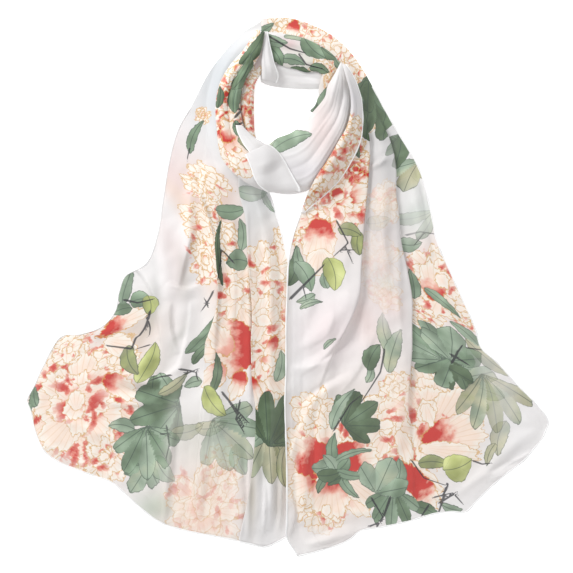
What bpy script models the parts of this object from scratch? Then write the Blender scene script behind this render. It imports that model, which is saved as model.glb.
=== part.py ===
"""A printed chiffon scarf, laid out flat on a table.

The long cloth goes once round the place of a neck and both ends fan out below it.
Each stretch of the winding that shows is one wall of cloth. A stretch is a loft:
a short table gives its two edges in plan, and the wall lies on whatever is under it.
Lengths are in metres and +Z points up from the table. The plan tables are drawn on
squared paper, x to the right and y towards the top of the loop, from the centre of
the laid-out scarf, and SQUARE is the real side of one of its squares.
"""

import math

import bmesh
import bpy
import numpy as np

MM = 0.001

# Driving dimensions of the cut cloth.
SCARF_WIDTH = 0.50
SQUARES_ACROSS = 455
SQUARE = SCARF_WIDTH / SQUARES_ACROSS
CENTRE = (-0.447, -0.344)

# The wall that stands for the cloth, and the air between two stretches.
WALL = 0.0012
AIR = 0.0005
# How fast a stretch's rounded back falls to its edges.
EDGE_POWER = 4
# The least height of the narrow fold that bridges from the roll to the opening.
BRIDGE = 0.0045

# A knife pleat, from closed (0) to combed out flat (1).
PLEAT_STATE = np.array(
    [
        # open, turn in degrees, bend radius
        (0.0, 180.0, 0.0013),
        (0.5, 96.0, 0.0016),
        (0.8, 45.0, 0.0030),
        (1.0, 12.0, 0.0050),
    ]
)
LEAST_LAP = 1.0
BEND_STEPS = 3
RUN_POINTS = (6, 6, 11)
RISE_MARGIN = 0.002
HEM_POINTS = 60

# The pile: a height map of the heap so far, on which the next stretch is laid.
CELL = 0.0015
PILE_HALF = 0.33
REACH_CELLS = 5
BLUR_CELLS = 3
LAY_STEPS = 12

# A tail: a row for each section, from the neck to the hem. The inner edge is beside
# the other tail. bow is the share of the hem's outline that the section takes. near
# and far are the two knife pleats: the place of the folded edge on the section
# (squares from the inner edge), its lap in millimetres and how far it is combed open.
RIGHT_TAIL = [
    # inner x, y, outer x, y, bow, near edge, lap, open, far edge, lap, open
    (-26, 246, -27, 267, 0.0, 7, 2, 1.0, 14, 2, 1.0),
    (-13, 248, -13, 268.5, 0.0, 7, 2, 1.0, 14, 2, 1.0),
    (2, 246, 0, 268.5, 0.0, 7, 2, 1.0, 15, 2, 1.0),
    (16, 243, 15, 265, 0.0, 7, 2, 1.0, 15, 2, 1.0),
    (30, 236, 32, 258, 0.0, 7, 2, 1.0, 15, 2, 1.0),
    (40, 226, 47, 249, 0.0, 8, 2, 1.0, 17, 2, 1.0),
    (47, 214, 61, 236, 0.0, 9, 2, 1.0, 18, 2, 1.0),
    (52, 198, 73, 220, 0.0, 11, 2, 1.0, 21, 2, 1.0),
    (53, 179, 85, 199, 0.0, 15, 2, 1.0, 28, 2, 1.0),
    (50, 161, 99, 173, 0.0, 27, 2, 0.8, 41, 2, 0.8),
    (44, 139, 116, 144, 0.0, 38, 6, 0.0, 59, 5, 0.0),
    (34, 116, 131, 118, 0.0, 47, 11, 0.0, 74, 11, 0.0),
    (21, 94, 139, 92, 0.0, 58, 14, 0.0, 87, 13, 0.0),
    (13, 73, 144, 70, 0.0, 64, 15, 0.0, 98, 15, 0.0),
    (4, 46, 149, 45, 0.0, 71, 15, 0.0, 109, 16, 0.0),
    (0, 18, 161, 17, 0.0, 73, 14, 0.0, 119, 16, 0.0),
    (-1, -12, 174, -12, 0.0, 72, 10, 0.0, 125, 14, 0.0),
    (-2, -40, 187, -41, 0.0, 61, 3, 0.1, 126, 9, 0.0),
    (-2, -62, 193, -61, 0.0, 50, 2, 0.6, 126, 6, 0.0),
    (-2, -85, 209, -76, 0.0, 40, 2, 0.8, 125, 3, 0.0),
    (-3, -117, 230, -99, 0.1, 30, 3, 1.0, 124, 2, 0.6),
    (-2, -152, 246, -115, 0.25, 26, 3, 1.0, 124, 3, 0.9),
    (-1, -192, 256, -127, 0.5, 25, 3, 1.0, 126, 3, 1.0),
    (-1, -233, 260, -134, 0.75, 25, 3, 1.0, 128, 3, 1.0),
    (-1, -251, 260, -138, 0.9, 25, 3, 1.0, 129, 3, 1.0),
    (10, -269.5, 260, -138.5, 1.0, 25, 3, 1.0, 130, 3, 1.0),
]
RIGHT_HEM = [
    # share of the section from the inner edge, distance past the chord in squares
    (0.0, 0.0),
    (0.06, 4.0),
    (0.13, 8.0),
    (0.19, 9.0),
    (0.24, 6.5),
    (0.31, 13.0),
    (0.40, 20.0),
    (0.49, 25.0),
    (0.55, 31.0),
    (0.60, 38.5),
    (0.65, 34.0),
    (0.72, 28.0),
    (0.79, 23.5),
    (0.86, 20.5),
    (0.92, 14.0),
    (0.96, 9.0),
    (1.0, 0.0),
]
LEFT_TAIL = [
    # inner x, y, outer x, y, bow, near edge, lap, open, far edge, lap, open
    (-20, 246, -26, 266, 0.0, 6, 2, 1.0, 14, 2, 1.0),
    (-27, 228, -47, 252.5, 0.0, 9, 2, 1.0, 20, 2, 1.0),
    (-36, 210, -62, 236.5, 0.0, 10, 2, 1.0, 22, 2, 1.0),
    (-40, 192, -80, 212.5, 0.0, 12, 2, 1.0, 26, 2, 1.0),
    (-42, 172, -96, 181.5, 0.0, 15, 2, 1.0, 32, 2, 1.0),
    (-41, 152, -110, 156.5, 0.0, 14, 2, 1.0, 38, 2, 1.0),
    (-36, 128, -118.5, 126, 0.0, 14, 2, 0.8, 47, 2, 1.0),
    (-21, 98, -125, 86, 0.0, 28, 9, 0.0, 68, 3, 0.3),
    (-12, 73, -130, 53, 0.0, 31, 12, 0.0, 65, 9, 0.0),
    (-4, 43, -141, 24, 0.0, 37, 14, 0.0, 69, 12, 0.0),
    (1, 16, -162, 11, 0.0, 40, 14, 0.0, 72, 13, 0.0),
    (3, -8, -169, -6, 0.0, 40, 14, 0.0, 73, 13, 0.0),
    (4, -22, -173, -25, 0.0, 40, 14, 0.0, 76, 12, 0.0),
    (4, -36, -186, -40, 0.0, 40, 14, 0.0, 80, 10, 0.0),
    (4, -50, -207, -47.5, 0.0, 41, 14, 0.0, 84, 7, 0.0),
    (4, -64, -228, -51, 0.0, 41, 14, 0.0, 87, 4, 0.0),
    (3, -92, -245, -80, 0.08, 39, 14, 0.0, 87, 2, 0.5),
    (2, -122, -253, -98, 0.25, 34, 14, 0.0, 86, 3, 0.9),
    (2, -157, -259, -109, 0.5, 34, 14, 0.0, 88, 3, 1.0),
    (2, -200, -261, -114, 0.8, 37, 14, 0.0, 90, 3, 1.0),
    (-1, -250, -261, -115, 1.0, 41, 13, 0.0, 94, 3, 1.0),
]
LEFT_HEM = [
    # share of the section from the inner edge, distance past the chord in squares
    (0.0, 0.0),
    (0.02, 9.0),
    (0.05, 19.0),
    (0.10, 23.0),
    (0.20, 31.0),
    (0.32, 41.5),
    (0.41, 45.5),
    (0.50, 41.0),
    (0.57, 35.5),
    (0.62, 32.5),
    (0.69, 35.0),
    (0.78, 38.5),
    (0.83, 38.5),
    (0.88, 34.0),
    (0.93, 22.0),
    (0.97, 8.0),
    (1.0, 0.0),
]

# A plain stretch: a row for each section, with its two edges in plan and the height
# of its rounded back over what it lies on, in millimetres.
BACK_BAND = [
    # upper x, y, lower x, y, back
    (-27, 252, -24, 232, 1.0),
    (-18, 253, -17, 225, 3.0),
    (-6, 252, -4, 219, 4.5),
    (6, 250, 8, 216, 5.0),
    (18, 246.5, 18, 213, 5.0),
    (30, 241, 28, 214, 4.5),
    (41, 234, 34, 210, 4.0),
    (49, 226, 39, 202, 3.0),
    (56, 218, 42, 194, 1.0),
]
LINING = [
    # upper x, y, lower x, y, back
    (-29, 230, -27, 204, 1.0),
    (-16, 229, -18, 200.5, 2.5),
    (-4, 227, -4, 198.5, 3.5),
    (10, 224, 10, 197.5, 4.0),
    (22, 221, 24, 197, 3.5),
    (33, 217, 35, 197.5, 2.5),
    (40, 212, 41, 199, 1.0),
]
INNER_LEFT = [
    # outer x, y, inner x, y, back
    (-27, 248, -23, 250, 0.8),
    (-31, 236, -24, 238, 1.2),
    (-36, 223, -24.5, 225, 1.5),
    (-42, 209, -27, 212, 1.8),
    (-45, 197, -32.5, 202, 2.0),
    (-47, 184, -34, 188, 2.0),
    (-46, 170, -34, 170, 2.0),
    (-42, 157, -33.5, 157, 1.8),
    (-36, 146, -32, 148, 1.0),
]
INNER_RIGHT = [
    # outer x, y, inner x, y, back
    (46, 214, 34, 210, 1.0),
    (44, 202, 31, 199, 1.5),
    (42, 190, 30, 190, 1.8),
    (38, 180, 27, 181, 1.8),
    (33, 171, 21, 175, 1.0),
]
DOG_EAR = [
    # left x, y, right x, y, back
    (-23.5, 253, -21, 253, 0.6),
    (-25, 240, -18, 238, 1.5),
    (-26, 226, -14, 222, 2.2),
    (-26, 213, -10, 210, 2.4),
    (-25.5, 205.5, -12, 203, 1.4),
]
DRAPE = [
    # outer x, y, inner x, y, back
    (-31, 255, -23, 252, 1.5),
    (-44, 236, -27, 233, 3.5),
    (-58, 220, -33, 221, 5.0),
    (-68, 202, -42, 206, 6.0),
    (-72, 181, -47.5, 185, 6.0),
    (-71, 158, -45, 162, 6.0),
    (-67, 131, -38, 147, 6.0),
    (-54, 113, -29, 141, 6.0),
    (-34, 99, -20, 141, 6.5),
    (-10, 93, -11, 148, 7.0),
    (10, 93, 3, 153.5, 7.5),
    (27, 101, 14, 162, 8.0),
    (44, 126, 21, 173, 8.0),
    (57, 151, 30, 188, 8.0),
    (63, 174, 39, 198, 7.5),
    (62, 194, 44, 207, 6.5),
    (58, 211, 48, 214, 4.5),
    (56, 221, 52, 222, 1.5),
]
DRAPE_RIDGES = [
    # share of the width from the outer edge, half width as a share, height in mm,
    # and the shares of the length where the ridge starts, is highest and ends
    (0.12, 0.045, 3.0, 0.42, 0.72, 0.99),
    (0.27, 0.050, 3.8, 0.50, 0.76, 0.99),
    (0.42, 0.050, 4.0, 0.47, 0.78, 0.99),
    (0.58, 0.045, 3.4, 0.54, 0.80, 0.99),
    (0.74, 0.050, 2.6, 0.52, 0.82, 0.99),
    (0.30, 0.130, 2.4, 0.00, 0.20, 0.42),
    (0.82, 0.090, 2.6, 0.00, 0.22, 0.40),
]
SHOULDER_STRIP = [
    # inner x, y, hem x, y, back
    (54, 220, 57, 220, 1.0),
    (58, 206, 66, 206, 2.0),
    (62, 190, 72, 190, 2.2),
    (62, 174, 74, 174, 2.2),
    (58, 158, 74, 158, 2.2),
    (50, 144, 71, 142, 2.2),
    (39, 125, 62, 123, 2.0),
    (30, 112, 51, 106, 2.0),
    (22, 97, 36, 91, 1.6),
    (16, 83, 23, 80, 1.2),
    (13, 74, 15.5, 73, 0.8),
]
HOOK = [
    # left x, y, right x, y, back
    (-51, 160, -46, 160, 0.8),
    (-49, 152, -40, 154, 1.6),
    (-44, 142, -32, 147, 2.0),
    (-37, 132, -22, 141, 2.0),
    (-30, 122, -13, 132, 1.0),
]
TONGUE = [
    # left x, y, right x, y, back
    (-42, 131, -21, 141, 1.4),
    (-39, 125, -12, 135, 2.2),
    (-36, 117, -4, 125, 2.6),
    (-33, 108, 2, 114, 2.8),
    (-29, 101, 7, 105, 2.6),
    (-23, 96, 11, 98, 1.6),
    (-19, 93.5, 11.5, 94, 0.4),
]
# The roll of layers that are hidden inside the loop: its middle line in plan.
HIDDEN_ROLL = [
    # x, y, half width in squares, height in mm
    (2, 233, 15, 6.0),
    (32, 222, 14, 6.0),
    (49, 196, 13, 7.0),
    (48, 158, 14, 8.0),
    (22, 126, 18, 8.5),
    (-16, 120, 18, 8.5),
    (-46, 136, 15, 7.5),
    (-56, 168, 14, 6.5),
    (-50, 204, 13, 6.0),
    (-30, 229, 14, 6.0),
]
ROLL_SECTIONS = 34
ROLL_PROFILE = [
    # share of the half width, share of the height: three layered steps a side
    (1.00, 0.00),
    (1.00, 0.22),
    (0.92, 0.30),
    (0.93, 0.52),
    (0.80, 0.62),
    (0.78, 0.84),
    (0.45, 1.00),
]

# Soft creases raised on the tails, each along a bent line in plan.
LEFT_CREASES = [
    # x0, y0, x1, y1, x2, y2, half width, height in mm
    (-92, 120, -104, 60, -96, 6, 6, 4.5),
    (-128, 66, -122, 20, -118, -40, 7, 3.5),
    (-100, -6, -116, -60, -106, -110, 8, 3.5),
    (-224, -62, -190, -108, -150, -168, 10, 3.5),
    (-22, 60, -14, -20, -20, -120, 4.5, 3.5),
    (-18, -130, -14, -190, -20, -246, 4.0, 4.5),
    (-34, -150, -30, -200, -32, -246, 3.5, 3.5),
    (-70, -60, -66, -130, -74, -200, 7, 3.0),
]
RIGHT_CREASES = [
    # x0, y0, x1, y1, x2, y2, half width, height in mm
    (60, -6, 44, -44, 8, -66, 8, 4.5),
    (26, 40, 30, -10, 12, -40, 6, 3.0),
    (100, 130, 92, 60, 98, -10, 6, 3.5),
    (14, -150, 18, -200, 12, -240, 6, 4.0),
    (150, 20, 158, -40, 190, -96, 7, 3.0),
    (110, -70, 120, -130, 100, -190, 9, 3.0),
    (252, -140, 205, -168, 180, -210, 8, 3.5),
    (40, 0, 46, -90, 30, -150, 7, 3.0),
]

WHITE = (0.86, 0.85, 0.86)
PEACH = (0.86, 0.66, 0.55)
GREEN = (0.36, 0.45, 0.35)
BLUSH = (0.86, 0.76, 0.73)


def spline(rows, places):
    """Catmull-Rom curve through the rows of a table, read at the given row places."""
    table = np.asarray(rows, float)
    last = len(table) - 1
    padded = np.vstack([2 * table[0] - table[1], table, 2 * table[-1] - table[-2]])
    first = np.clip(np.floor(places).astype(int), 0, last - 1)
    t = (places - first)[:, None]
    p0, p1, p2, p3 = (padded[first + k] for k in range(4))
    return 0.5 * (
        2 * p1
        + (p2 - p0) * t
        + (2 * p0 - 5 * p1 + 4 * p2 - p3) * t**2
        + (3 * p1 - p0 - 3 * p2 + p3) * t**3
    )


def smooth_step(x):
    x = np.clip(x, 0.0, 1.0)
    return x * x * (3 - 2 * x)


def to_plan(points):
    """Squares of the layout, as metres from the centre of the laid-out scarf."""
    return (np.asarray(points, float) - CENTRE) * SQUARE


class Pile:
    """The top of the heap so far, as a height for each cell of the table."""

    def __init__(self):
        self.count = int(2 * PILE_HALF / CELL)
        self.height = np.zeros((self.count, self.count))
        self.eased = self.height

    def lay(self, grid):
        """Adds a wall, given the grid of points down its middle."""
        t = (np.arange(LAY_STEPS) + 0.5) / LAY_STEPS
        a, b = grid[:-1, :-1], grid[1:, :-1]
        c, d = grid[:-1, 1:], grid[1:, 1:]
        for along in t:
            for across in t:
                near = a + (b - a) * along
                far = c + (d - c) * along
                self.mark((near + (far - near) * across).reshape(-1, 3))
        self.ease()

    def mark(self, points):
        cells = ((points[:, :2] + PILE_HALF) / CELL).astype(int)
        top = points[:, 2] + WALL / 2
        np.maximum.at(self.height, (cells[:, 0], cells[:, 1]), top)

    def ease(self):
        """Spreads each height over its neighbours, then blurs, so cloth bridges steps."""
        spread = self.height
        for axis in (0, 1):
            spread = np.max(
                [np.roll(spread, k, axis) for k in range(-REACH_CELLS, REACH_CELLS + 1)],
                axis=0,
            )
        for axis in (0, 1):
            spread = np.mean(
                [np.roll(spread, k, axis) for k in range(-BLUR_CELLS, BLUR_CELLS + 1)],
                axis=0,
            )
        self.eased = spread

    def under(self, x, y):
        """The eased height of the heap under the given places."""
        u = (x + PILE_HALF) / CELL - 0.5
        v = (y + PILE_HALF) / CELL - 0.5
        i, j = np.floor(u).astype(int), np.floor(v).astype(int)
        fu, fv = u - i, v - j
        h = self.eased
        low = h[i, j] * (1 - fu) + h[i + 1, j] * fu
        high = h[i, j + 1] * (1 - fu) + h[i + 1, j + 1] * fu
        return low * (1 - fv) + high * fv

    def settle(self, grid):
        """Lowers a wall until it just clears the heap, or until it is on the table."""
        cells = ((grid[..., :2] + PILE_HALF) / CELL).astype(int)
        underside = grid[..., 2] - WALL / 2
        clear = underside - self.height[cells[..., 0], cells[..., 1]] - AIR
        grid[..., 2] -= max(min(clear.min(), underside.min()), 0.0)
        return grid


def rest_on(pile, x, y):
    """Height of the middle of a wall laid on the heap: on the table itself, no air."""
    heap = pile.under(x, y)
    return heap + AIR * smooth_step(heap / MM) + WALL / 2


def crease_height(creases, x, y):
    """Sum of soft ridges, each a bell across a bent line and eased out at its ends."""
    total = np.zeros_like(x)
    for x0, y0, x1, y1, x2, y2, half, high in creases:
        t = np.linspace(0, 1, 25)[:, None]
        ends = [to_plan([p]) for p in ((x0, y0), (x1, y1), (x2, y2))]
        line = ends[0] * (1 - t) ** 2 + ends[1] * 2 * t * (1 - t) + ends[2] * t**2
        away = np.stack([np.hypot(x - px, y - py) for px, py in line])
        nearest = away.argmin(axis=0)
        ease = np.sin(math.pi * t[nearest, 0]) ** 0.7
        total += high * MM * ease * np.exp(-((away.min(axis=0) / (half * SQUARE)) ** 2))
    return total


def pleat(edge, lap, openness):
    """Points of one knife pleat, across and up, from its upper layer to its lower.

    The cloth turns down by an angle, runs back under itself for the lap and turns
    forward again. edge is where the folded edge lies on the section.
    """
    turn = math.radians(np.interp(openness, PLEAT_STATE[:, 0], PLEAT_STATE[:, 1]))
    bend = np.interp(openness, PLEAT_STATE[:, 0], PLEAT_STATE[:, 2])
    drop = 2 * bend * (1 - math.cos(turn)) + lap * math.sin(turn)
    angle = np.linspace(0, turn, BEND_STEPS + 1)
    upper = np.stack([bend * np.sin(angle), drop - bend + bend * np.cos(angle)], axis=1)
    end = upper[-1] + lap * np.array([math.cos(turn), -math.sin(turn)])
    middle = end + bend * np.array([math.sin(turn), math.cos(turn)])
    back = angle[::-1, None]
    lower = middle - bend * np.concatenate([np.sin(back), np.cos(back)], axis=1)
    points = np.concatenate([upper, lower])
    points[:, 0] += edge - bend * math.sin(min(turn, math.pi / 2))
    return points


def run(start, stop, low, high, rise_from, rise_to, count):
    """A stretch of section between two pleats that rises from low to high."""
    across = np.linspace(start, stop, count)
    span = max(rise_to - rise_from, 0.001)
    up = low + (high - low) * smooth_step((across - rise_from) / span)
    return np.stack([across, up], axis=1)


def tail_section(length, near, far):
    """One section of a tail, across and up: run, pleat, run, pleat, run."""
    first, second = pleat(*near), pleat(*far)
    back_first = first[:, 0].min() - RISE_MARGIN
    back_second = second[:, 0].min() - RISE_MARGIN
    front = first[:, 0].max() + RISE_MARGIN
    inner = run(0, first[0, 0], 0, first[0, 1], 0.25 * back_first, back_first, RUN_POINTS[0] + 1)
    middle = run(first[-1, 0], second[0, 0], 0, second[0, 1], front, back_second, RUN_POINTS[1] + 2)
    outer = run(second[-1, 0], length, 0, 0, 0, 1, RUN_POINTS[2] + 1)
    return np.concatenate([inner[:-1], first, middle[1:-1], second, outer[1:]])


def tail(rows, hem, creases, sections, pile):
    """The grid of points down the middle of a tail's wall."""
    table = spline(rows, np.linspace(0, len(rows) - 1, sections))
    outline = spline(hem, np.linspace(0, len(hem) - 1, HEM_POINTS))
    grid = []
    for ix, iy, ox, oy, bow, edge_1, lap_1, open_1, edge_2, lap_2, open_2 in table:
        start, stop = to_plan((ix, iy)), to_plan((ox, oy))
        length = np.hypot(*(stop - start))
        way = (stop - start) / length
        past = np.array([way[1], -way[0]]) * math.copysign(1, way[0])
        near = (edge_1 * SQUARE, max(lap_1, LEAST_LAP) * MM, min(max(open_1, 0), 1))
        far = (edge_2 * SQUARE, max(lap_2, LEAST_LAP) * MM, min(max(open_2, 0), 1))
        section = tail_section(length, near, far)
        share = np.clip(section[:, 0] / length, 0, 1)
        out = np.interp(share, outline[:, 0], outline[:, 1]) * SQUARE * max(bow, 0)
        plan = start + section[:, :1] * way + out[:, None] * past
        base = rest_on(pile, plan[:, 0], plan[:, 1])
        raised = crease_height(creases, plan[:, 0], plan[:, 1])
        grid.append(np.column_stack([plan, base + raised + section[:, 1]]))
    return np.array(grid)


def stretch(rows, sections, across, pile, ridges=(), lowest=0.0):
    """The grid of a plain stretch with a rounded back and lengthwise ridges."""
    table = spline(rows, np.linspace(0, len(rows) - 1, sections))
    share = 0.5 - 0.5 * np.cos(np.linspace(0, math.pi, across)) * (
        0.6 + 0.4 * np.abs(np.cos(np.linspace(0, math.pi, across)))
    )
    start, stop = to_plan(table[:, 0:2]), to_plan(table[:, 2:4])
    plan = start[:, None] + (stop - start)[:, None] * share[None, :, None]
    along = np.linspace(0, 1, sections)[:, None]
    back = 1 - np.abs(2 * share - 1) ** EDGE_POWER
    up = table[:, 4:5] * back
    for place, half, high, first, top, last in ridges:
        rise = smooth_step((along - first) / (top - first))
        fall = smooth_step((last - along) / (last - top))
        up = up + high * rise * fall * np.exp(-(((share - place) / half) ** 2)) * back
    x, y = plan[..., 0], plan[..., 1]
    return np.dstack([plan, np.maximum(rest_on(pile, x, y), lowest) + up * MM])


def finish(name, colour, mesh, collection):
    """Puts a mesh in the scene as a smooth object with its own cloth material."""
    material = bpy.data.materials.new(name + "_cloth")
    material.use_nodes = True
    shader = material.node_tree.nodes["Principled BSDF"]
    shader.inputs["Base Color"].default_value = (*colour, 1.0)
    shader.inputs["Roughness"].default_value = 0.75
    shader.inputs["Metallic"].default_value = 0.0
    mesh.materials.append(material)
    mesh.shade_smooth()
    part = bpy.data.objects.new(name, mesh)
    collection.objects.link(part)
    return part


def wall(name, colour, grid, collection):
    """A flat grid moved to the given points and thickened to the cloth's wall."""
    rows, columns = grid.shape[:2]
    bm = bmesh.new()
    bmesh.ops.create_grid(bm, x_segments=rows - 1, y_segments=columns - 1, size=1.0)
    for vertex in bm.verts:
        i = round((vertex.co.x + 1) / 2 * (rows - 1))
        j = round((vertex.co.y + 1) / 2 * (columns - 1))
        vertex.co = grid[i, j]
    mesh = bpy.data.meshes.new(name)
    bm.to_mesh(mesh)
    bm.free()
    part = finish(name, colour, mesh, collection)
    thick = part.modifiers.new("Cloth wall", "SOLIDIFY")
    thick.thickness = WALL
    thick.offset = 0.0
    thick.use_even_offset = False
    return part


def hidden_roll(name, colour, pile, collection):
    """The closed roll inside the loop: a layered profile carried round a ring."""
    rows = HIDDEN_ROLL
    ring = np.array(rows[-1:] + rows + rows[:2], float)
    places = 1 + np.arange(ROLL_SECTIONS) * len(rows) / ROLL_SECTIONS
    table = spline(ring, places)
    middle = to_plan(table[:, :2])
    ahead = np.roll(middle, -1, axis=0) - np.roll(middle, 1, axis=0)
    ahead /= np.linalg.norm(ahead, axis=1)[:, None]
    side = np.column_stack([ahead[:, 1], -ahead[:, 0]])
    profile = ROLL_PROFILE + [(-s, h) for s, h in reversed(ROLL_PROFILE)]
    bm = bmesh.new()
    rings = []
    top = []
    for centre, out, (_, _, wide, high) in zip(middle, side, table):
        points = [
            (*(centre + out * s * wide * SQUARE), h * high * MM) for s, h in profile
        ]
        top.append(points)
        rings.append([bm.verts.new(p) for p in points])
    for one, two in zip(rings, rings[1:] + rings[:1]):
        for k in range(len(profile)):
            after = (k + 1) % len(profile)
            bm.faces.new((one[k], one[after], two[after], two[k]))
    bmesh.ops.recalc_face_normals(bm, faces=bm.faces)
    mesh = bpy.data.meshes.new(name)
    bm.to_mesh(mesh)
    bm.free()
    finish(name, colour, mesh, collection)
    closed = np.array(top + top[:1])
    closed[..., 2] -= WALL / 2
    pile.lay(closed)


def main():
    for old in list(bpy.data.objects):
        bpy.data.objects.remove(old)
    collection = bpy.data.collections.new("chiffon_scarf")
    bpy.context.scene.collection.children.link(collection)
    pile = Pile()
    hidden_roll("hidden_roll", WHITE, pile, collection)

    def add(name, colour, grid):
        wall(name, colour, pile.settle(grid), collection)
        pile.lay(grid)

    add("neck_lining", WHITE, stretch(LINING, 9, 7, pile))
    add("left_tail", BLUSH, tail(LEFT_TAIL, LEFT_HEM, LEFT_CREASES, 30, pile))
    add("right_tail", PEACH, tail(RIGHT_TAIL, RIGHT_HEM, RIGHT_CREASES, 36, pile))
    add("back_band", GREEN, stretch(BACK_BAND, 12, 8, pile))
    add("inner_left_fold", BLUSH, stretch(INNER_LEFT, 13, 6, pile))
    add("inner_right_fold", GREEN, stretch(INNER_RIGHT, 7, 6, pile, lowest=BRIDGE))
    add("dog_ear", WHITE, stretch(DOG_EAR, 7, 6, pile))
    add("front_drape", WHITE, stretch(DRAPE, 34, 22, pile, DRAPE_RIDGES))
    add("shoulder_strip", PEACH, stretch(SHOULDER_STRIP, 18, 7, pile))
    add("hook", WHITE, stretch(HOOK, 7, 6, pile))
    add("tongue", WHITE, stretch(TONGUE, 9, 8, pile))


main()
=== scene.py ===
"""The looks of a printed chiffon scarf that lies flat, wound once round the place of a neck.

Every stretch of the winding that shows is a sheet: a function of two parameters, one
along the cloth and one across it, worked out on a grid from a short table of sections.
A sheet is laid on the pile of what was laid before it. The print is painted on each
sheet as signed distances to the edges of its petals, leaves and twigs, so that the
finish can draw their outlines sharper than the grid.

Places are in squares of the squared paper that the scarf is laid out on, 1.1 mm each:
columns from its left edge and rows from its top edge, or, in the tables of sections,
right and up from a mark near its middle.
"""

import logging
import math
from collections.abc import Iterator, Sequence
from dataclasses import dataclass
from enum import Enum

import bpy
import numpy as np
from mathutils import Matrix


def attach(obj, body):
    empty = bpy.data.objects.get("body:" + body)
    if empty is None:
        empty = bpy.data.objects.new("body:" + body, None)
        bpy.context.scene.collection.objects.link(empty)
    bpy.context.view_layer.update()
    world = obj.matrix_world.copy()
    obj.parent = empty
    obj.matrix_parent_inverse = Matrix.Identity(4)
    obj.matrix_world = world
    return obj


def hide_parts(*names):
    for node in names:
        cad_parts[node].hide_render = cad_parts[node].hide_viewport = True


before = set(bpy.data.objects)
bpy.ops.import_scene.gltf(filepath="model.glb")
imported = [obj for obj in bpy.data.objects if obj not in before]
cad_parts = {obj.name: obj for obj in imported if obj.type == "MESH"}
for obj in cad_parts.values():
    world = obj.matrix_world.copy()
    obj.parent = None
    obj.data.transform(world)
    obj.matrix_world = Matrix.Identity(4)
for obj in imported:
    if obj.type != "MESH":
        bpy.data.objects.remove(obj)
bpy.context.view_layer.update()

LOG = logging.getLogger("scarf")
MM = 0.001

# The layout paper: a square's size, the squares across it, the column and row of its
# mark, and the frame's origin in squares from that mark.
SQUARE = 0.50 / 455
PAPER_SQUARES = 573
PAPER_ORIGIN = (288.0, 286.5)
PAPER_CENTRE = (-0.447, -0.344)

# The cloth: what its solid allows for it, the air between stretches and its own wall.
WALL = 1.2 * MM
AIR = 0.5 * MM
CHIFFON = 0.3 * MM
# Keeps a division from going through zero.
TINY = 1e-12

# How finely a table is read while it is measured, and the samples along a bent line.
READINGS_PER_ROW, LINE_SAMPLES = 40, 41
# A crease ends this many half widths away, and its height goes with this power of a sine.
CREASE_REACH, CREASE_EASE = 3, 0.65
# A slow undulation: how many waves it adds up, and their lengths as shares of the mean.
WAVES, WAVE_SHARES = 7, (0.6, 1.6)

Array = np.ndarray
Tree = bpy.types.NodeTree
Socket = bpy.types.NodeSocket
Mesh = bpy.types.Mesh
Object = bpy.types.Object


class Panel(Enum):
    """A visible panel of a tail, counted from its inner edge."""

    INNER = 0
    MIDDLE = 1
    OUTER = 2
    ANY = 3


# ------ curves and places


def spline(rows: list, places: Array) -> Array:
    """Catmull-Rom curve through the rows of a table.

    Args:
        rows: the table, a row of numbers for each section.
        places: where to read it, 0 at the first row and 1 more at each next one.

    Returns:
        A row of numbers for each place.
    """
    table = np.asarray(rows, float)
    last = len(table) - 1
    padded = np.vstack([2 * table[0] - table[1], table, 2 * table[-1] - table[-2]])
    first = np.clip(np.floor(places).astype(int), 0, last - 1)
    t = (places - first)[:, None]
    p0, p1, p2, p3 = (padded[first + k] for k in range(4))
    return 0.5 * (
        2 * p1
        + (p2 - p0) * t
        + (2 * p0 - 5 * p1 + 4 * p2 - p3) * t**2
        + (3 * p1 - p0 - 3 * p2 + p3) * t**3
    )


def smooth_step(x: Array) -> Array:
    """The curve 3x^2 - 2x^3, held at 0 and 1 outside that range."""
    x = np.clip(x, 0.0, 1.0)
    return x * x * (3 - 2 * x)


def to_plan(squares: Array) -> Array:
    """Places in squares from the paper's mark, as metres from the frame's origin."""
    return (np.asarray(squares, float) - PAPER_CENTRE) * SQUARE


def to_paper(plan: Array) -> Array:
    """Places in metres from the frame's origin, as columns and rows of the paper."""
    squares = np.asarray(plan, float) / SQUARE + PAPER_CENTRE
    right, down = squares[..., 0] + PAPER_ORIGIN[0], PAPER_ORIGIN[1] - squares[..., 1]
    return np.stack([right, down], axis=-1)


def from_paper(columns: Array, rows: Array) -> Array:
    """Columns and rows of the paper, as metres from the frame's origin."""
    right = np.asarray(columns, float) - PAPER_ORIGIN[0]
    return to_plan(np.stack([right, PAPER_ORIGIN[1] - np.asarray(rows)], axis=-1))


def even_places(rows: list, spacing: Array) -> Array:
    """Places along a table of sections that are evenly spaced on the cloth.

    Args:
        rows: the table of sections, each with its two edges' places first.
        spacing: the wished spacing in metres at each row of the table.

    Returns:
        The places, from the first row to the last.
    """
    fine = np.linspace(0, len(rows) - 1, READINGS_PER_ROW * len(rows))
    table = spline(rows, fine)
    step = np.zeros(len(fine))
    for k in (0, 2):
        plan = to_plan(table[:, k : k + 2])
        step[1:] += np.hypot(*np.diff(plan, axis=0).T) / 2
    wish = np.interp(fine, np.arange(len(rows)), spacing)
    steps = np.cumsum(step / wish)
    return np.interp(np.linspace(0, steps[-1], int(steps[-1]) + 2), steps, fine)


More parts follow.
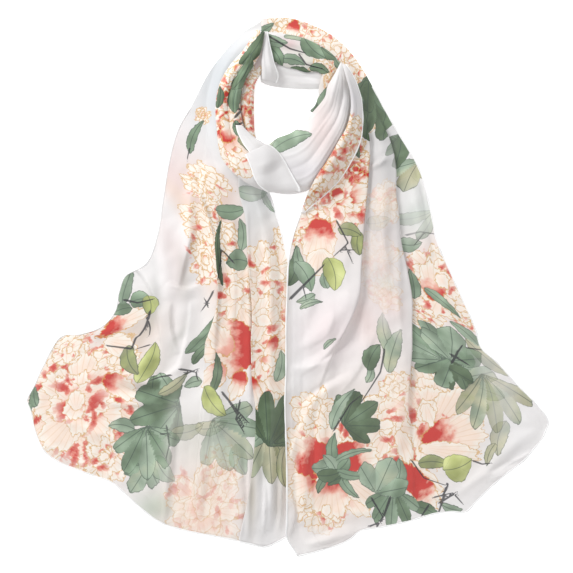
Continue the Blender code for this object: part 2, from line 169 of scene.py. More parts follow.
def crease_height(creases: list, x: Array, y: Array) -> Array:
    """Sum of soft ridges and troughs.

    Each is a bell, exp(-(d / half)^2), of the distance d from a bent line, and is eased
    out at the line's two ends. A fold that leans has two half widths, for the left and
    for the right of its line as one goes along it.

    Args:
        creases: rows of three places on the paper, one or two half widths in squares and
            a height in millimetres, which is negative for a trough.
        x: plan place along X in metres.
        y: plan place along Y in metres.

    Returns:
        The height in metres at each place.
    """
    total = np.zeros_like(x)
    t = np.linspace(0, 1, LINE_SAMPLES)[:, None]
    for x0, y0, x1, y1, x2, y2, *halves, high in creases:
        ends = from_paper([x0, x1, x2], [y0, y1, y2])
        line = ends[0] * (1 - t) ** 2 + ends[1] * 2 * t * (1 - t) + ends[2] * t**2
        reach = CREASE_REACH * max(halves) * SQUARE
        near = (
            (x > line[:, 0].min() - reach)
            & (x < line[:, 0].max() + reach)
            & (y > line[:, 1].min() - reach)
            & (y < line[:, 1].max() + reach)
        )
        if not near.any():
            continue
        across, along = x[near] - line[:, :1], y[near] - line[:, 1:]
        nearest = np.hypot(across, along).argmin(axis=0)
        own = np.arange(len(nearest))
        across, along = across[nearest, own], along[nearest, own]
        ahead = np.gradient(line, axis=0)[nearest]
        step = np.hypot(*ahead.T)
        side = (ahead[:, 0] * along - ahead[:, 1] * across) / step
        past = (ahead[:, 0] * across + ahead[:, 1] * along) / step**2
        share = np.clip((nearest + past) / (LINE_SAMPLES - 1), 0, 1)
        half = np.where(side > 0, halves[0], halves[-1]) * SQUARE
        ease = np.sin(math.pi * share) ** CREASE_EASE
        total[near] += high * MM * ease * np.exp(-((side / half) ** 2))
    return total


def undulation(x: Array, y: Array, wave: float, high: float, seed: int) -> Array:
    """Slow uneven rise and fall: crossed sine waves with seeded directions.

    Args:
        x: plan place along X in metres.
        y: plan place along Y in metres.
        wave: the mean length of a wave in metres.
        high: the height in metres.
        seed: picks the directions and phases.

    Returns:
        The height in metres at each place.
    """
    rng = np.random.default_rng(seed)
    total = np.zeros_like(x)
    for _ in range(WAVES):
        turn, phase = rng.uniform(0, math.tau, 2)
        pitch = math.tau / (wave * rng.uniform(*WAVE_SHARES))
        total += np.sin(pitch * (x * math.cos(turn) + y * math.sin(turn)) + phase)
    return high * total / WAVES


# ------ the pile


class Pile:
    """The top of the heap so far, as a height for each cell of the table."""

    CELL = 1.5 * MM
    HALF = 0.33
    REACH = 5
    BLUR = 3

    def __init__(self) -> None:
        """Starts with the bare table."""
        count = int(2 * self.HALF / self.CELL)
        self.height = np.zeros((count, count))
        self.eased = self.height

    def lay(self, points: Array, steps: int = 2) -> None:
        """Adds a sheet to the heap.

        Args:
            points: the grid of points down the sheet's middle.
            steps: how many places a cell of the grid marks each way.
        """
        a, b = points[:-1, :-1], points[1:, :-1]
        c, d = points[:-1, 1:], points[1:, 1:]
        for along in (np.arange(steps) + 0.5) / steps:
            for across in (np.arange(steps) + 0.5) / steps:
                near = a + (b - a) * along
                far = c + (d - c) * along
                self._mark((near + (far - near) * across).reshape(-1, 3))
        self._ease()

    def _mark(self, points: Array) -> None:
        """Raises the cells under the given points to the top of the sheet's wall."""
        cells = ((points[:, :2] + self.HALF) / self.CELL).astype(int)
        np.maximum.at(self.height, (cells[:, 0], cells[:, 1]), points[:, 2] + WALL / 2)

    def _ease(self) -> None:
        """Spreads each height over its neighbours and blurs it, so cloth bridges steps."""
        eased = self.height
        for reach, mix in ((self.REACH, np.max), (self.BLUR, np.mean)):
            for axis in (0, 1):
                shifted = [np.roll(eased, k, axis) for k in range(-reach, reach + 1)]
                eased = mix(shifted, axis=0)
        self.eased = eased

    def rest(self, x: Array, y: Array) -> Array:
        """Height of the middle of a wall laid on the heap, by bilinear reading."""
        u = (x + self.HALF) / self.CELL - 0.5
        v = (y + self.HALF) / self.CELL - 0.5
        i, j = np.floor(u).astype(int), np.floor(v).astype(int)
        fu, fv = u - i, v - j
        h = self.eased
        low = h[i, j] * (1 - fu) + h[i + 1, j] * fu
        high = h[i, j + 1] * (1 - fu) + h[i + 1, j + 1] * fu
        heap = low * (1 - fv) + high * fv
        return heap + AIR * smooth_step(heap / MM) + WALL / 2

    def settle(self, points: Array) -> Array:
        """Lowers a sheet until it just clears the heap, or until it is on the table."""
        cells = ((points[..., :2] + self.HALF) / self.CELL).astype(int)
        underside = points[..., 2] - WALL / 2
        clear = underside - self.height[cells[..., 0], cells[..., 1]] - AIR
        points[..., 2] -= max(min(clear.min(), underside.min()), 0.0)
        return points


# ------ the print


@dataclass
class Print:
    """The pattern on one sheet, as fields of signed distance, in squares.

    A field is above zero inside its motif. Motifs in one layer never cross, so that a
    field stays smooth near each outline. Later layers cover earlier ones.
    """

    folded: Array
    flat: Array
    panel: Array

    LEAF_LAYERS = 4
    FAR = -60.0
    # Two layers of petals for each ring of a flower, and red spots over the first and
    # the third ring.
    PETAL_LAYERS = (0, 1, 3, 4, 5, 6, 8, 9)
    SPOT_LAYERS = (2, 7)
    RINGS = (
        # distance from the flower's middle, petals, half length, half width
        (0.65, 10, 0.46, 0.26),
        (0.43, 7, 0.43, 0.25),
        (0.22, 5, 0.34, 0.22),
        (0.06, 3, 0.20, 0.15),
    )
    # The depths of a rim's lobes, teeth and sway, as shares of the petal's size. The
    # mean of a bow |sin| is taken off, so that the petal keeps its size.
    LOBES, TEETH, SWAY = 0.20, 0.11, 0.06
    MEAN_BOW = 0.64
    # A petal has a few lobes and teeth, and more for each square up to a size. Above
    # another size it has rays this far apart.
    LOBE_COUNT, TOOTH_COUNT, RUFFLED_TO = (2, 0.26), (4, 0.85), 24
    RAYED_FROM, RAY_PITCH = 9, 3.4
    # How unevenly a ring's petals stand, each ring's turn against the last one in
    # radians, and how far the inner rings lean forward.
    UNEVEN, RING_TURN, FORWARD = 0.32, 0.7, 0.16
    # Seeded spreads: how far out a petal is, its length and its width.
    OUT_SPREAD, LONG_SPREAD, WIDE_SPREAD = (0.80, 1.14), (0.75, 1.25), (0.8, 1.3)
    # A throat's red or faint share, and the chance of red: its least, and its growth.
    RED, FAINT, RED_CHANCE = 0.95, 0.10, (0.10, 0.30)
    # Red patches for each square of the radius, and how far out they reach.
    SPOT_COUNT, SPOTS_TO = 1.1, 0.92
    # How bent a leaf and a spot are, as shares of their length.
    LEAF_BEND, SPOT_BEND = 0.10, 0.25
    # A leaf this wide is a fan, unless its tone is olive or lime. A long fan has more lobes.
    FAN_WIDTH, OLIVE, LONG_FAN = 18, 0.66, 38
    # How far out a twig's line is known, in squares, and how near to it its ink lies.
    TWIG_REACH, TWIG_NEAR = 8, 2.5

    def __post_init__(self) -> None:
        """Starts with bare white cloth."""
        count = len(self.flat)
        layers = len(self.PETAL_LAYERS) + len(self.SPOT_LAYERS)
        self.petals = np.zeros((layers, count, 4))
        self.petals[..., 0] = self.FAR
        self.petals[..., 3] = 0.5
        self.leaves = np.zeros((self.LEAF_LAYERS, count, 4))
        self.leaves[..., 0] = self.FAR
        self.twigs = np.zeros((count, 4))
        self.twigs[:, 0] = -self.FAR
        self.twigs[:, 1] = self.FAR
        self.wash_and_shade = np.ones((count, 4))
        self.strength = np.ones(count)

    def part(self, pick: Array) -> "Print":
        """The print of some of the points."""
        made = Print(self.folded[pick], self.flat[pick], self.panel[pick])
        made.petals, made.leaves = self.petals[:, pick], self.leaves[:, pick]
        made.twigs, made.wash_and_shade = self.twigs[pick], self.wash_and_shade[pick]
        made.strength = self.strength[pick]
        return made

    def spot(self, panel: Panel, column: float, row: float) -> tuple:
        """Where a place of the laid-out scarf is on the unrolled cloth.

        Args:
            panel: the panel that shows there.
            column: the place's column on the paper.
            row: the place's row on the paper.

        Returns:
            The column and row on the cloth with its pleats unrolled.
        """
        away = np.hypot(self.folded[:, 0] - column, self.folded[:, 1] - row)
        shows = self.panel >= 0 if panel is Panel.ANY else self.panel == panel.value
        k = int(np.where(shows, away, np.inf).argmin())
        shift = self.flat[k] - self.folded[k]
        return column + shift[0], row + shift[1]

    def local(self, column: float, row: float, turn: float, reach: float) -> tuple:
        """The points near a motif, and their places along and across its axis."""
        right = self.flat[:, 0] - column
        up = row - self.flat[:, 1]
        near = np.flatnonzero((np.abs(right) < reach) & (np.abs(up) < reach))
        c, s = math.cos(turn), math.sin(turn)
        right, up = right[near], up[near]
        return near, right * c + up * s, up * c - right * s

    def petal(
        self, layer: int, place: tuple, turn: float, size: tuple, glow: float, seed: int
    ) -> None:
        """Paints one ruffled petal.

        Its edge is an ellipse. Its outer rim is scalloped by round lobes and pointed
        teeth, both bows of the angle round it. Fine rays run out from its base.

        Args:
            layer: the layer it is in.
            place: the column and row of its middle on the unrolled cloth.
            turn: the way its rim points, in radians from right, counterclockwise.
            size: half its length and half its width in squares.
            glow: how red its throat is; above 1 the red reaches further out.
            seed: picks the ruffles.
        """
        rng = np.random.default_rng(seed)
        long, wide = size
        near, u, v = self.local(*place, turn, 1.35 * max(size) + 5)
        if not len(near):
            return
        angle = np.arctan2(v / wide, u / long)
        rim = 0.25 + 0.75 * (0.5 + 0.5 * np.cos(angle))
        phase = rng.uniform(0, math.tau, 3)
        grown = min(max(size), self.RUFFLED_TO)
        lobes, teeth = (round(n + m * grown) for n, m in (self.LOBE_COUNT, self.TOOTH_COUNT))
        lobe = np.abs(np.sin(0.5 * lobes * angle + phase[0])) - self.MEAN_BOW
        tooth = self.MEAN_BOW - np.abs(np.sin(0.5 * teeth * angle + phase[1]))
        sway = np.sin(3 * angle + phase[2])
        edge = 1 + rim * (self.LOBES * lobe + self.TEETH * tooth + self.SWAY * sway)
        inside = (edge - np.hypot(u / long, v / wide)) * min(size)
        base = np.clip(0.5 - 0.5 * u / long, -0.5, 1.5) + 0.5 * min(max(glow - 1, 0), 0.5)
        rays = round(max(size) / self.RAY_PITCH) if max(size) > self.RAYED_FROM else 0
        ray = 0.5 + rays * np.arctan2(v, u + 1.15 * long)
        self._lay(self.petals[layer], near, inside, base, glow, ray)

    def _lay(self, field: Array, near: Array, inside: Array, *values: Array) -> None:
        """Adds a motif to a layer, where it is further inside than what is there."""
        win = inside > field[near, 0]
        where = near[win]
        field[where, 0] = inside[win]
        for k, value in enumerate(values):
            field[where, k + 1] = np.broadcast_to(value, inside.shape)[win]

    def spots(self, middle: tuple, radius: float, red: float, rng: np.random.Generator) -> None:
        """Paints a flower's small red patches, each a narrow blot along its radius."""
        for k in range(round(red * radius * self.SPOT_COUNT)):
            angle = rng.uniform(0, math.tau)
            out = radius * self.SPOTS_TO * math.sqrt(rng.uniform(0.01, 1))
            long = rng.uniform(0.06, 0.22) * radius + 1.2
            wide = long * rng.uniform(0.24, 0.5)
            place = (middle[0] + out * math.cos(angle), middle[1] - out * math.sin(angle))
            turn = angle + rng.normal(0, 0.8)
            near, u, v = self.local(*place, turn, 1.2 * long + 4)
            if len(near):
                bend = self.SPOT_BEND * u * u / long * (-1) ** k
                inside = (1 - np.hypot(u / long, (v - bend) / wide)) * wide
                layer = self.SPOT_LAYERS[int(out < 0.5 * radius)]
                self._lay(self.petals[layer], near, inside, 0.5 - 0.5 * u / long)

    def flower(self, panel: Panel, row: tuple, seed: int) -> None:
        """Paints a many-petalled flower: four rings of ruffled petals and red patches.

        Args:
            panel: the panel that its middle shows on.
            row: its middle's column and row on the paper, its radius in squares, the way
                it faces in degrees, its depth across that way as a share of its width,
                and how much red it has, from 0 to about 2.
            seed: picks the petals' sizes and ruffles.
        """
        *place, radius, turn, squash, red = row
        rng = np.random.default_rng(seed)
        middle = self.spot(panel, *place)
        axis = math.radians(turn)
        for ring, (away, count, long, wide) in enumerate(self.RINGS):
            for k in range(count):
                angle = math.tau * (k + rng.uniform(-self.UNEVEN, self.UNEVEN)) / count
                angle += self.RING_TURN * ring
                out = away * radius * rng.uniform(*self.OUT_SPREAD)
                along, across = out * math.cos(angle), out * math.sin(angle) * squash
                along += self.FORWARD * radius * (1 - away)
                spread = math.atan2(math.sin(angle) * squash, math.cos(angle)) + axis
                place = (
                    middle[0] + along * math.cos(axis) - across * math.sin(axis),
                    middle[1] - along * math.sin(axis) - across * math.cos(axis),
                )
                size = (
                    long * radius * rng.uniform(*self.LONG_SPREAD),
                    wide * radius * rng.uniform(*self.WIDE_SPREAD),
                )
                chance = self.RED_CHANCE[0] + self.RED_CHANCE[1] * red
                lit = red * (self.RED if rng.uniform() < chance else self.FAINT)
                layer = self.PETAL_LAYERS[2 * ring + k % 2]
                spread += rng.normal(0, 0.25)
                self.petal(layer, place, spread, size, lit, int(rng.integers(1 << 30)))
        self.spots(middle, radius, red, rng)

    def leaf(self, panel: Panel, row: tuple) -> None:
        """Paints one leaf: a pointed oval about a bent midrib, or a fan when it is wide.

        Args:
            panel: the panel that its middle shows on.
            row: its middle's column and row on the paper, its length and its width in
                squares, the way its tip points in degrees from right, counterclockwise,
                its tone from 0 to 1 along the leaf colours, and its layer, where 0 is
                behind the flowers.
        """
        *place, length, width, turn, tone, layer = row
        middle = self.spot(panel, *place)
        angle = math.radians(turn)
        near, u, v = self.local(*middle, angle, 0.75 * length + 6)
        if not len(near):
            return
        if width >= self.FAN_WIDTH and tone < self.OLIVE:
            field = self._fan(u + 0.5 * length, v, length, 0.5 + 1.6 * width / length, tone)
        else:
            bend = self.LEAF_BEND * (-1) ** int(sum(place))
            v = v - bend * length * ((2 * u / length) ** 2 - 0.5)
            share = np.clip(0.5 + u / length, 0, 1)
            half = 1.28 * width * share**0.55 * (1 - share) ** 0.85
            half = half * (1 + 0.07 * np.abs(np.sin(9 * share + 3 * np.sign(v))))
            field = (np.minimum(half - np.abs(v), 0.5 * length - np.abs(u)), v, u)
            field = (*field, tone)
        self._lay(self.leaves[layer], near, *field)

    def _fan(self, u: Array, v: Array, length: float, spread: float, tone: float) -> tuple:
        """A fan-shaped leaf: lobes round its stalk, each with its own vein.

        Args:
            u: places along the leaf from its stalk.
            v: places across it.
            length: how far its middle lobe reaches.
            spread: the angle from its middle to its last lobe's side, in radians.
            tone: its middle colour, which its lobes are a little lighter or darker than.

        Returns:
            How far inside, how far across from the nearest vein, how far along, and the
            lobe's tone.
        """
        angle, out = np.arctan2(v, u), np.hypot(u, v)
        lobes = 5 if length > self.LONG_FAN else 3
        share = angle / spread * lobes / 2
        off = share - np.round(share)
        edge = length * (0.6 + 0.4 * np.cos(angle)) * (1 - 0.32 * np.abs(2 * off) ** 2.4)
        edge = edge * (1 + 0.07 * (self.MEAN_BOW - np.abs(np.sin(8 * angle))))
        inside = np.minimum(0.8 * (edge - out), (spread - np.abs(angle)) * out)
        tones = tone + 0.09 * np.sin(2.4 * np.round(share) + length)
        return inside, out * np.sin(off * 2 * spread / lobes), out, tones

    def twig(self, panel: Panel, width: float, places: tuple) -> None:
        """Paints a thin twig along a bent line, thinner towards its end.

        Args:
            panel: the panel that it shows on.
            width: its width in squares at its start.
            places: the columns and rows of its points, one after the other.
        """
        points = np.array(places, float).reshape(-1, 2)
        first = np.array(self.spot(panel, *points[0]))
        points = points + (first - points[0])
        best = np.full(len(self.flat), -self.FAR)
        for k, (start, stop) in enumerate(zip(points[:-1], points[1:])):
            way = stop - start
            length = np.hypot(*way)
            rel = self.flat - start
            t = np.clip(rel @ way / length**2, 0, 1)
            away = np.hypot(*(rel - t[:, None] * way).T)
            side = (rel[:, 0] * way[1] - rel[:, 1] * way[0]) / length
            taper = 0.9 * width * (1.15 - 0.6 * (k + t) / (len(points) - 1))
            win = (away < best) & (away < self.TWIG_REACH)
            best[win] = away[win]
            near = self.TWIG_NEAR - away
            closer = win & (near > self.twigs[:, 1])
            signed = np.where(np.abs(side) > 1e-6, np.sign(side), 1) * away
            self.twigs[closer, 0] = (signed / taper)[closer]
            self.twigs[closer, 1] = near[closer]

    def tint_and_shade(self, panel: Panel, place: tuple, colour: str, amount: float) -> None:
        """Washes a soft patch of colour over the ground.
        Its grey and grey-brown patches in the tails are painted shade of folds and hollows.

        Args:
            panel: the panel that it shows on.
            place: column, row, half width and half height in squares.
            colour: the patch's colour as sRGB hex.
            amount: its strength in the middle, from 0 to 1.
        """
        share = (amount * np.exp(-self._away(panel, place)))[:, None]
        self.wash_and_shade[:, :3] = self.wash_and_shade[:, :3] * (1 - share) + np.array(linear(colour)) * share

    def veil(self, panel: Panel, place: tuple, amount: float) -> None:
        """Fades the print in a soft patch, where it shows from the cloth's paler side."""
        self.strength *= 1 - amount * np.exp(-(self._away(panel, place) ** 2))

    def _away(self, panel: Panel, place: tuple) -> Array:
        """The square of how far each point is from a patch, 1 at the patch's edge."""
        column, row, wide, high = place
        middle = self.spot(panel, column, row)
        away = ((self.flat[:, 0] - middle[0]) / wide) ** 2
        away += ((self.flat[:, 1] - middle[1]) / high) ** 2
        return away

    def store(self, mesh: Mesh) -> None:
        """Writes the fields into the mesh, for the finish to read."""
        colours = {f"petal_{k}": layer for k, layer in enumerate(self.petals)}
        colours.update({f"leaf_{k}": layer for k, layer in enumerate(self.leaves)})
        colours.update({"twig": self.twigs, "wash_and_shade": self.wash_and_shade})
        for name, values in colours.items():
            slot = mesh.attributes.new(name, "FLOAT_COLOR", "POINT")
            slot.data.foreach_set("color", values.ravel().astype(np.float32))
        slot = mesh.attributes.new("strength", "FLOAT", "POINT")
        slot.data.foreach_set("value", self.strength.astype(np.float32))


# ------ finishes


def linear(colour: str) -> tuple:
    """An sRGB hex colour such as #FAE8D8, as three linear numbers."""
    parts = [int(colour[k : k + 2], 16) / 255 for k in (1, 3, 5)]
    return tuple(c / 12.92 if c <= 0.04045 else ((c + 0.055) / 1.055) ** 2.4 for c in parts)


MATH, RANGE, MIX = "ShaderNodeMath", "ShaderNodeMapRange", "ShaderNodeMix"
NOISE, READ = "ShaderNodeTexNoise", "ShaderNodeAttribute"


def add(tree: Tree, kind: str, links: dict, out: int = 0, **settings: object) -> Socket:
    """Adds a node to a material.

    Args:
        tree: the material's node tree.
        kind: the node's type.
        links: for each input's name or number, an output to link or a value to set.
        out: which of its outputs is wanted.
        settings: the node's own settings.

    Returns:
        The wanted output of the new node.
    """
    new = tree.nodes.new(kind)
    for name, value in settings.items():
        setattr(new, name, value)
    for key, value in links.items():
        if isinstance(value, Socket):
            tree.links.new(value, new.inputs[key])
        else:
            new.inputs[key].default_value = value
    return new.outputs[out]


@dataclass(frozen=True)
class Chiffon:
    """Silk-like polyester chiffon: fine crimped yarn in an open plain weave.

    It is matte with a faint sheen at a glancing angle, and a little of what lies under
    it shows through. Its yarns are 0.25 mm apart, too fine to show, so the weave is
    drawn at 1.3 mm, as the slight grain of crepe.
    """

    name: str = "plain_chiffon"
    ground: str = "#F9F7F7"
    cover: float = 0.78
    roughness: float = 0.78
    ior: float = 1.5
    specular: float = 0.25
    sheen: float = 0.18
    sheen_roughness: float = 0.5
    mottle: float = 40 * MM
    mottle_depth: float = 0.95
    grain: float = 1.3 * MM
    relief: float = 0.25
    yarn: float = 0.2 * MM
    printed: bool = False

    def material(self) -> bpy.types.Material:
        """Makes the material once: ground, print where there is one, and weave."""
        if self.name in bpy.data.materials:
            return bpy.data.materials[self.name]
        made = bpy.data.materials.new(self.name)
        made.use_nodes = True
        tree = made.node_tree
        shader = tree.nodes["Principled BSDF"]
        shader.inputs["Roughness"].default_value = self.roughness
        shader.inputs["IOR"].default_value = self.ior
        shader.inputs["Specular IOR Level"].default_value = self.specular
        shader.inputs["Sheen Weight"].default_value = self.sheen
        shader.inputs["Sheen Roughness"].default_value = self.sheen_roughness
        shader.inputs["Alpha"].default_value = self.cover
        cloth = add(tree, "ShaderNodeUVMap", {}, uv_map="cloth")
        colour = self._ground(tree, cloth)
        if self.printed:
            colour = Inking(tree, PrintInks(), colour, cloth).draw()
        tree.links.new(colour, shader.inputs["Base Color"])
        tree.links.new(self._weave(tree, cloth), shader.inputs["Normal"])
        return made

    def _ground(self, tree: Tree, cloth: Socket) -> Socket:
        """The ground: the cloth's own white times the patches of colour and painted shade, mottled
        by a few percent.
        """
        mottle = add(tree, NOISE, {"Vector": cloth, "Scale": 1 / self.mottle, "Detail": 2.0})
        pale = (*linear(self.ground), 1.0)
        deep = tuple(self.mottle_depth * c for c in pale[:3]) + (1.0,)
        ground = add(tree, MIX, {0: mottle, 6: deep, 7: pale}, 2, data_type="RGBA")
        if not self.printed:
            return ground
        wash_and_shade = add(tree, READ, {}, attribute_name="wash_and_shade")
        links = {0: 1.0, 6: ground, 7: wash_and_shade}
        return add(tree, MIX, links, 2, data_type="RGBA", blend_type="MULTIPLY")

    def _weave(self, tree: Tree, cloth: Socket) -> Socket:
        """The weave's bump: noise stretched along the warp plus noise along the weft."""
        heights = []
        for stretch in ((1.0, 0.18, 1.0), (0.18, 1.0, 1.0)):
            placed = add(tree, "ShaderNodeMapping", {"Vector": cloth, "Scale": stretch})
            links = {"Vector": placed, "Scale": 1 / self.grain, "Detail": 1.0}
            heights.append(add(tree, NOISE, links))
        height = add(tree, MATH, dict(enumerate(heights)), operation="ADD")
        links = {"Height": height, "Strength": self.relief, "Distance": self.yarn}
        return add(tree, "ShaderNodeBump", links)


@dataclass(frozen=True)
class RolledHem(Chiffon):
    """Chiffon rolled three times over and stitched: dense, so it reads as a white line."""

    name: str = "crepe_rolled_hem"
    ground: str = "#FFFFFF"
    cover: float = 1.0


@dataclass(frozen=True)
class PrintInks:
    """The print's inks on chiffon: soft, matte, and lined by hand-drawn outlines."""

    rim: str = "#FFFAF2"
    blush: str = "#FFEDDF"
    throat: str = "#D6433C"
    throat_soft: str = "#F3A793"
    outline: str = "#E0B26E"
    leaf_line: str = "#47564F"
    ink: str = "#36363C"
    leaf_tones: tuple = (
        (0.00, "#5C6E54"),
        (0.15, "#697D61"),
        (0.30, "#8AA187"),
        (0.45, "#ABBDA8"),
        (0.60, "#C6C3A6"),
        (0.72, "#9CA376"),
        (0.85, "#C3CB80"),
        (1.00, "#D8DCA2"),
    )
    # Drawn lines: half width in squares, and how much they cover.
    petal_line: tuple = (0.42, 0.85)
    leaf_outline: tuple = (0.38, 0.7)
    # The side veins' distance and slant, and how much finer than the midrib they are.
    veins: tuple = (7.5, -0.9, 0.42)
    # A throat's two reds: the place of each on the way in, and the first one's cover.
    flush: tuple = (0.4, 0.85, 0.8)
    # Each range: from where to where, and what it gives at either end, if not 0 and 1.
    # Edges and depths are in squares inside the outline, a leaf's light is in squares
    # across it, a twig's edge is in half widths, and the rest are shares.
    petal_edge: tuple = (-0.5, -0.15)
    petal_depth: tuple = (0.5, 6.0)
    throat_reach: tuple = (0.34, 0.92)
    ray_width: tuple = (0.13, 0.03, 0.0, 0.26)
    ray_fade: tuple = (0.5, 0.0)
    spot_edge: tuple = (-0.2, 0.5, 0.0, 0.95)
    spot_depth: tuple = (0.0, 2.4)
    spot_fade: tuple = (0.05, 0.55, 0.35)
    leaf_edge: tuple = (-0.45, -0.15)
    leaf_light: tuple = (-18.0, 18.0, 0.66, 1.34)
    twig_edge: tuple = (1.0, 0.5, 0.0, 0.9)
    # How much of the noise each takes: a spot's edge, a leaf's edge, its tone and light.
    spot_ragged: float = 1.2
    leaf_ragged: float = 0.6
    leaf_washes: tuple = (0.35, 50.0)
    # Each noise: the size of its blots, its detail and its range. It makes edges ragged,
    # throats patchy and leaves washy.
    ragged: tuple = (5.0 * MM, 2.0, 5.0)
    patchy: tuple = (9.0 * MM, 3.0, 0.5)
    washy: tuple = (24.0 * MM, 1.5, 1.0)


@dataclass
class Inking:
    """The print as it is laid over the ground of a material, layer by layer."""

    tree: Tree
    inks: PrintInks
    colour: Socket
    cloth: Socket

    # A line fades between these multiples of its half width.
    LINE_EDGE = (1.7, 0.4)

    def draw(self) -> Socket:
        """Lays back leaves, petals and spots, front leaves and twigs over the ground.

        Returns:
            The finished colour.
        """
        self.strength = add(self.tree, READ, {}, 2, attribute_name="strength")
        self.ragged = self._noise(*self.inks.ragged)
        self.patchy = self._noise(*self.inks.patchy)
        self.washy = self._noise(*self.inks.washy)
        self._leaf(0)
        for layer in range(len(Print.PETAL_LAYERS) + len(Print.SPOT_LAYERS)):
            if layer in Print.SPOT_LAYERS:
                self._spot(layer)
            else:
                self._petal(layer)
        for layer in range(1, Print.LEAF_LAYERS):
            self._leaf(layer)
        self._twig()
        return self.colour

    def _noise(self, size: float, detail: float, amount: float) -> Socket:
        """Noise about zero, of blots of a size in metres, over a range of an amount."""
        raw = add(self.tree, NOISE, {"Vector": self.cloth, "Scale": 1 / size, "Detail": detail})
        return self._sum(raw, amount, -0.5 * amount)

    def _math(self, operation: str, *values: "float | Socket") -> Socket:
        """One operation on one, two or three values."""
        return add(self.tree, MATH, dict(enumerate(values)), operation=operation)

    def _sum(self, value: Socket, scale: "float | Socket", extra: "float | Socket") -> Socket:
        """A value times a scale plus something more."""
        return self._math("MULTIPLY_ADD", value, scale, extra)

    def _fields(self, name: str) -> list:
        """The four numbers that a layer holds at each point."""
        read = add(self.tree, READ, {}, attribute_name=name).node
        parts = add(self.tree, "ShaderNodeSeparateXYZ", {0: read.outputs["Color"]}).node
        return [*parts.outputs, read.outputs["Alpha"]]

    def _share(
        self, value: Socket, start: float, stop: float, low: float = 0.0, high: float = 1.0
    ) -> Socket:
        """How far a value is from start to stop, as a share, or from low to high."""
        links = {"Value": value, "From Min": start, "From Max": stop}
        return add(self.tree, RANGE, {**links, "To Min": low, "To Max": high})

    def _blend(self, share: Socket, one: object, other: object) -> Socket:
        """A mix of two colours, each a socket or sRGB hex."""
        pair = [(*linear(c), 1.0) if isinstance(c, str) else c for c in (one, other)]
        return add(self.tree, MIX, {0: share, 6: pair[0], 7: pair[1]}, 2, data_type="RGBA")

    def _over(self, cover: Socket, fill: object) -> None:
        """Lays a colour over what is there, by its cover and the print's strength."""
        cover = self._math("MULTIPLY", cover, self.strength)
        self.colour = self._blend(cover, self.colour, fill)

    def _line(self, away: Socket, width: float, high: float) -> Socket:
        """How much a line of a half width covers at a distance from its middle."""
        out, full = (width * share for share in self.LINE_EDGE)
        return self._share(self._math("ABSOLUTE", away), out, full, high=high)

    def _spot(self, layer: int) -> None:
        """One layer of red patches: ragged, coral at the edge, and fading at one end."""
        inside, base, _, _ = self._fields(f"petal_{layer}")
        inks = self.inks
        inside = self._sum(self.ragged, inks.spot_ragged, inside)
        depth = self._share(inside, *inks.spot_depth)
        fill = self._blend(depth, inks.throat_soft, inks.throat)
        fading = self._share(base, *inks.spot_fade)
        cover = self._share(inside, *inks.spot_edge)
        self._over(self._math("MULTIPLY", cover, fading), fill)

    def _petal(self, layer: int) -> None:
        """One layer of petals: pale rim, blush inside, red throat and a golden outline."""
        inside, base, glow, ray = self._fields(f"petal_{layer}")
        inks = self.inks
        inside = self._sum(self.ragged, 1.0, inside)
        base = self._sum(self.patchy, 1.0, base)
        fill = self._blend(self._share(inside, *inks.petal_depth), inks.rim, inks.blush)
        reach = self._share(base, *inks.throat_reach)
        reach.node.interpolation_type = "SMOOTHSTEP"
        flush = self._math("MULTIPLY", reach, glow)
        ramp = add(self.tree, "ShaderNodeValToRGB", {0: flush}).node
        stops = ramp.color_ramp.elements
        soft, full, cover = inks.flush
        stops[0].color = (*linear(inks.blush), 0.0)
        stops[1].color = (*linear(inks.throat), 1.0)
        stops[1].position = full
        stops.new(soft).color = (*linear(inks.throat_soft), cover)
        fill = self._blend(ramp.outputs["Alpha"], fill, ramp.outputs["Color"])
        line = self._line(inside, *inks.petal_line)
        ray = self._share(self._math("PINGPONG", ray, 0.5), *inks.ray_width)
        ray = self._sum(ray, self._share(flush, *inks.ray_fade), 0.0)
        line = self._math("MAXIMUM", line, ray)
        cover = self._share(inside, *inks.petal_edge)
        self._over(cover, self._blend(line, fill, inks.outline))

    def _leaf(self, layer: int) -> None:
        """One layer of leaves: washed green, a midrib, side veins and a dark outline."""
        inside, across, along, tone = self._fields(f"leaf_{layer}")
        inks = self.inks
        inside = self._sum(self.ragged, inks.leaf_ragged, inside)
        tone_wash, light_wash = inks.leaf_washes
        tone = self._sum(self.washy, tone_wash, tone)
        ramp = add(self.tree, "ShaderNodeValToRGB", {0: tone}).node
        stops = ramp.color_ramp.elements
        for k, (place, colour) in enumerate(inks.leaf_tones):
            stop = stops[k] if k < 2 else stops.new(place)
            stop.position = place
            stop.color = (*linear(colour), 1.0)
        light = self._share(self._sum(self.washy, light_wash, across), *inks.leaf_light)
        links = {0: ramp.outputs["Color"], "Scale": light}
        fill = add(self.tree, "ShaderNodeVectorMath", links, operation="SCALE")
        pitch, slant, finer = inks.veins
        width = self._math("ABSOLUTE", across)
        veins = self._math("PINGPONG", self._sum(width, slant, along), pitch)
        near = self._math("ABSOLUTE", inside)
        for other in (width, self._math("ADD", veins, finer)):
            near = self._math("MINIMUM", near, other)
        line = self._line(near, *inks.leaf_outline)
        cover = self._share(inside, *inks.leaf_edge)
        self._over(cover, self._blend(line, fill, inks.leaf_line))

    def _twig(self) -> None:
        """The twigs: dark ink where a point is within the twig's half width."""
        side, near, _, _ = self._fields("twig")
        body = self._share(self._math("ABSOLUTE", side), *self.inks.twig_edge)
        near = self._math("GREATER_THAN", near, 0.0)
        self._over(self._math("MULTIPLY", body, near), self.inks.ink)


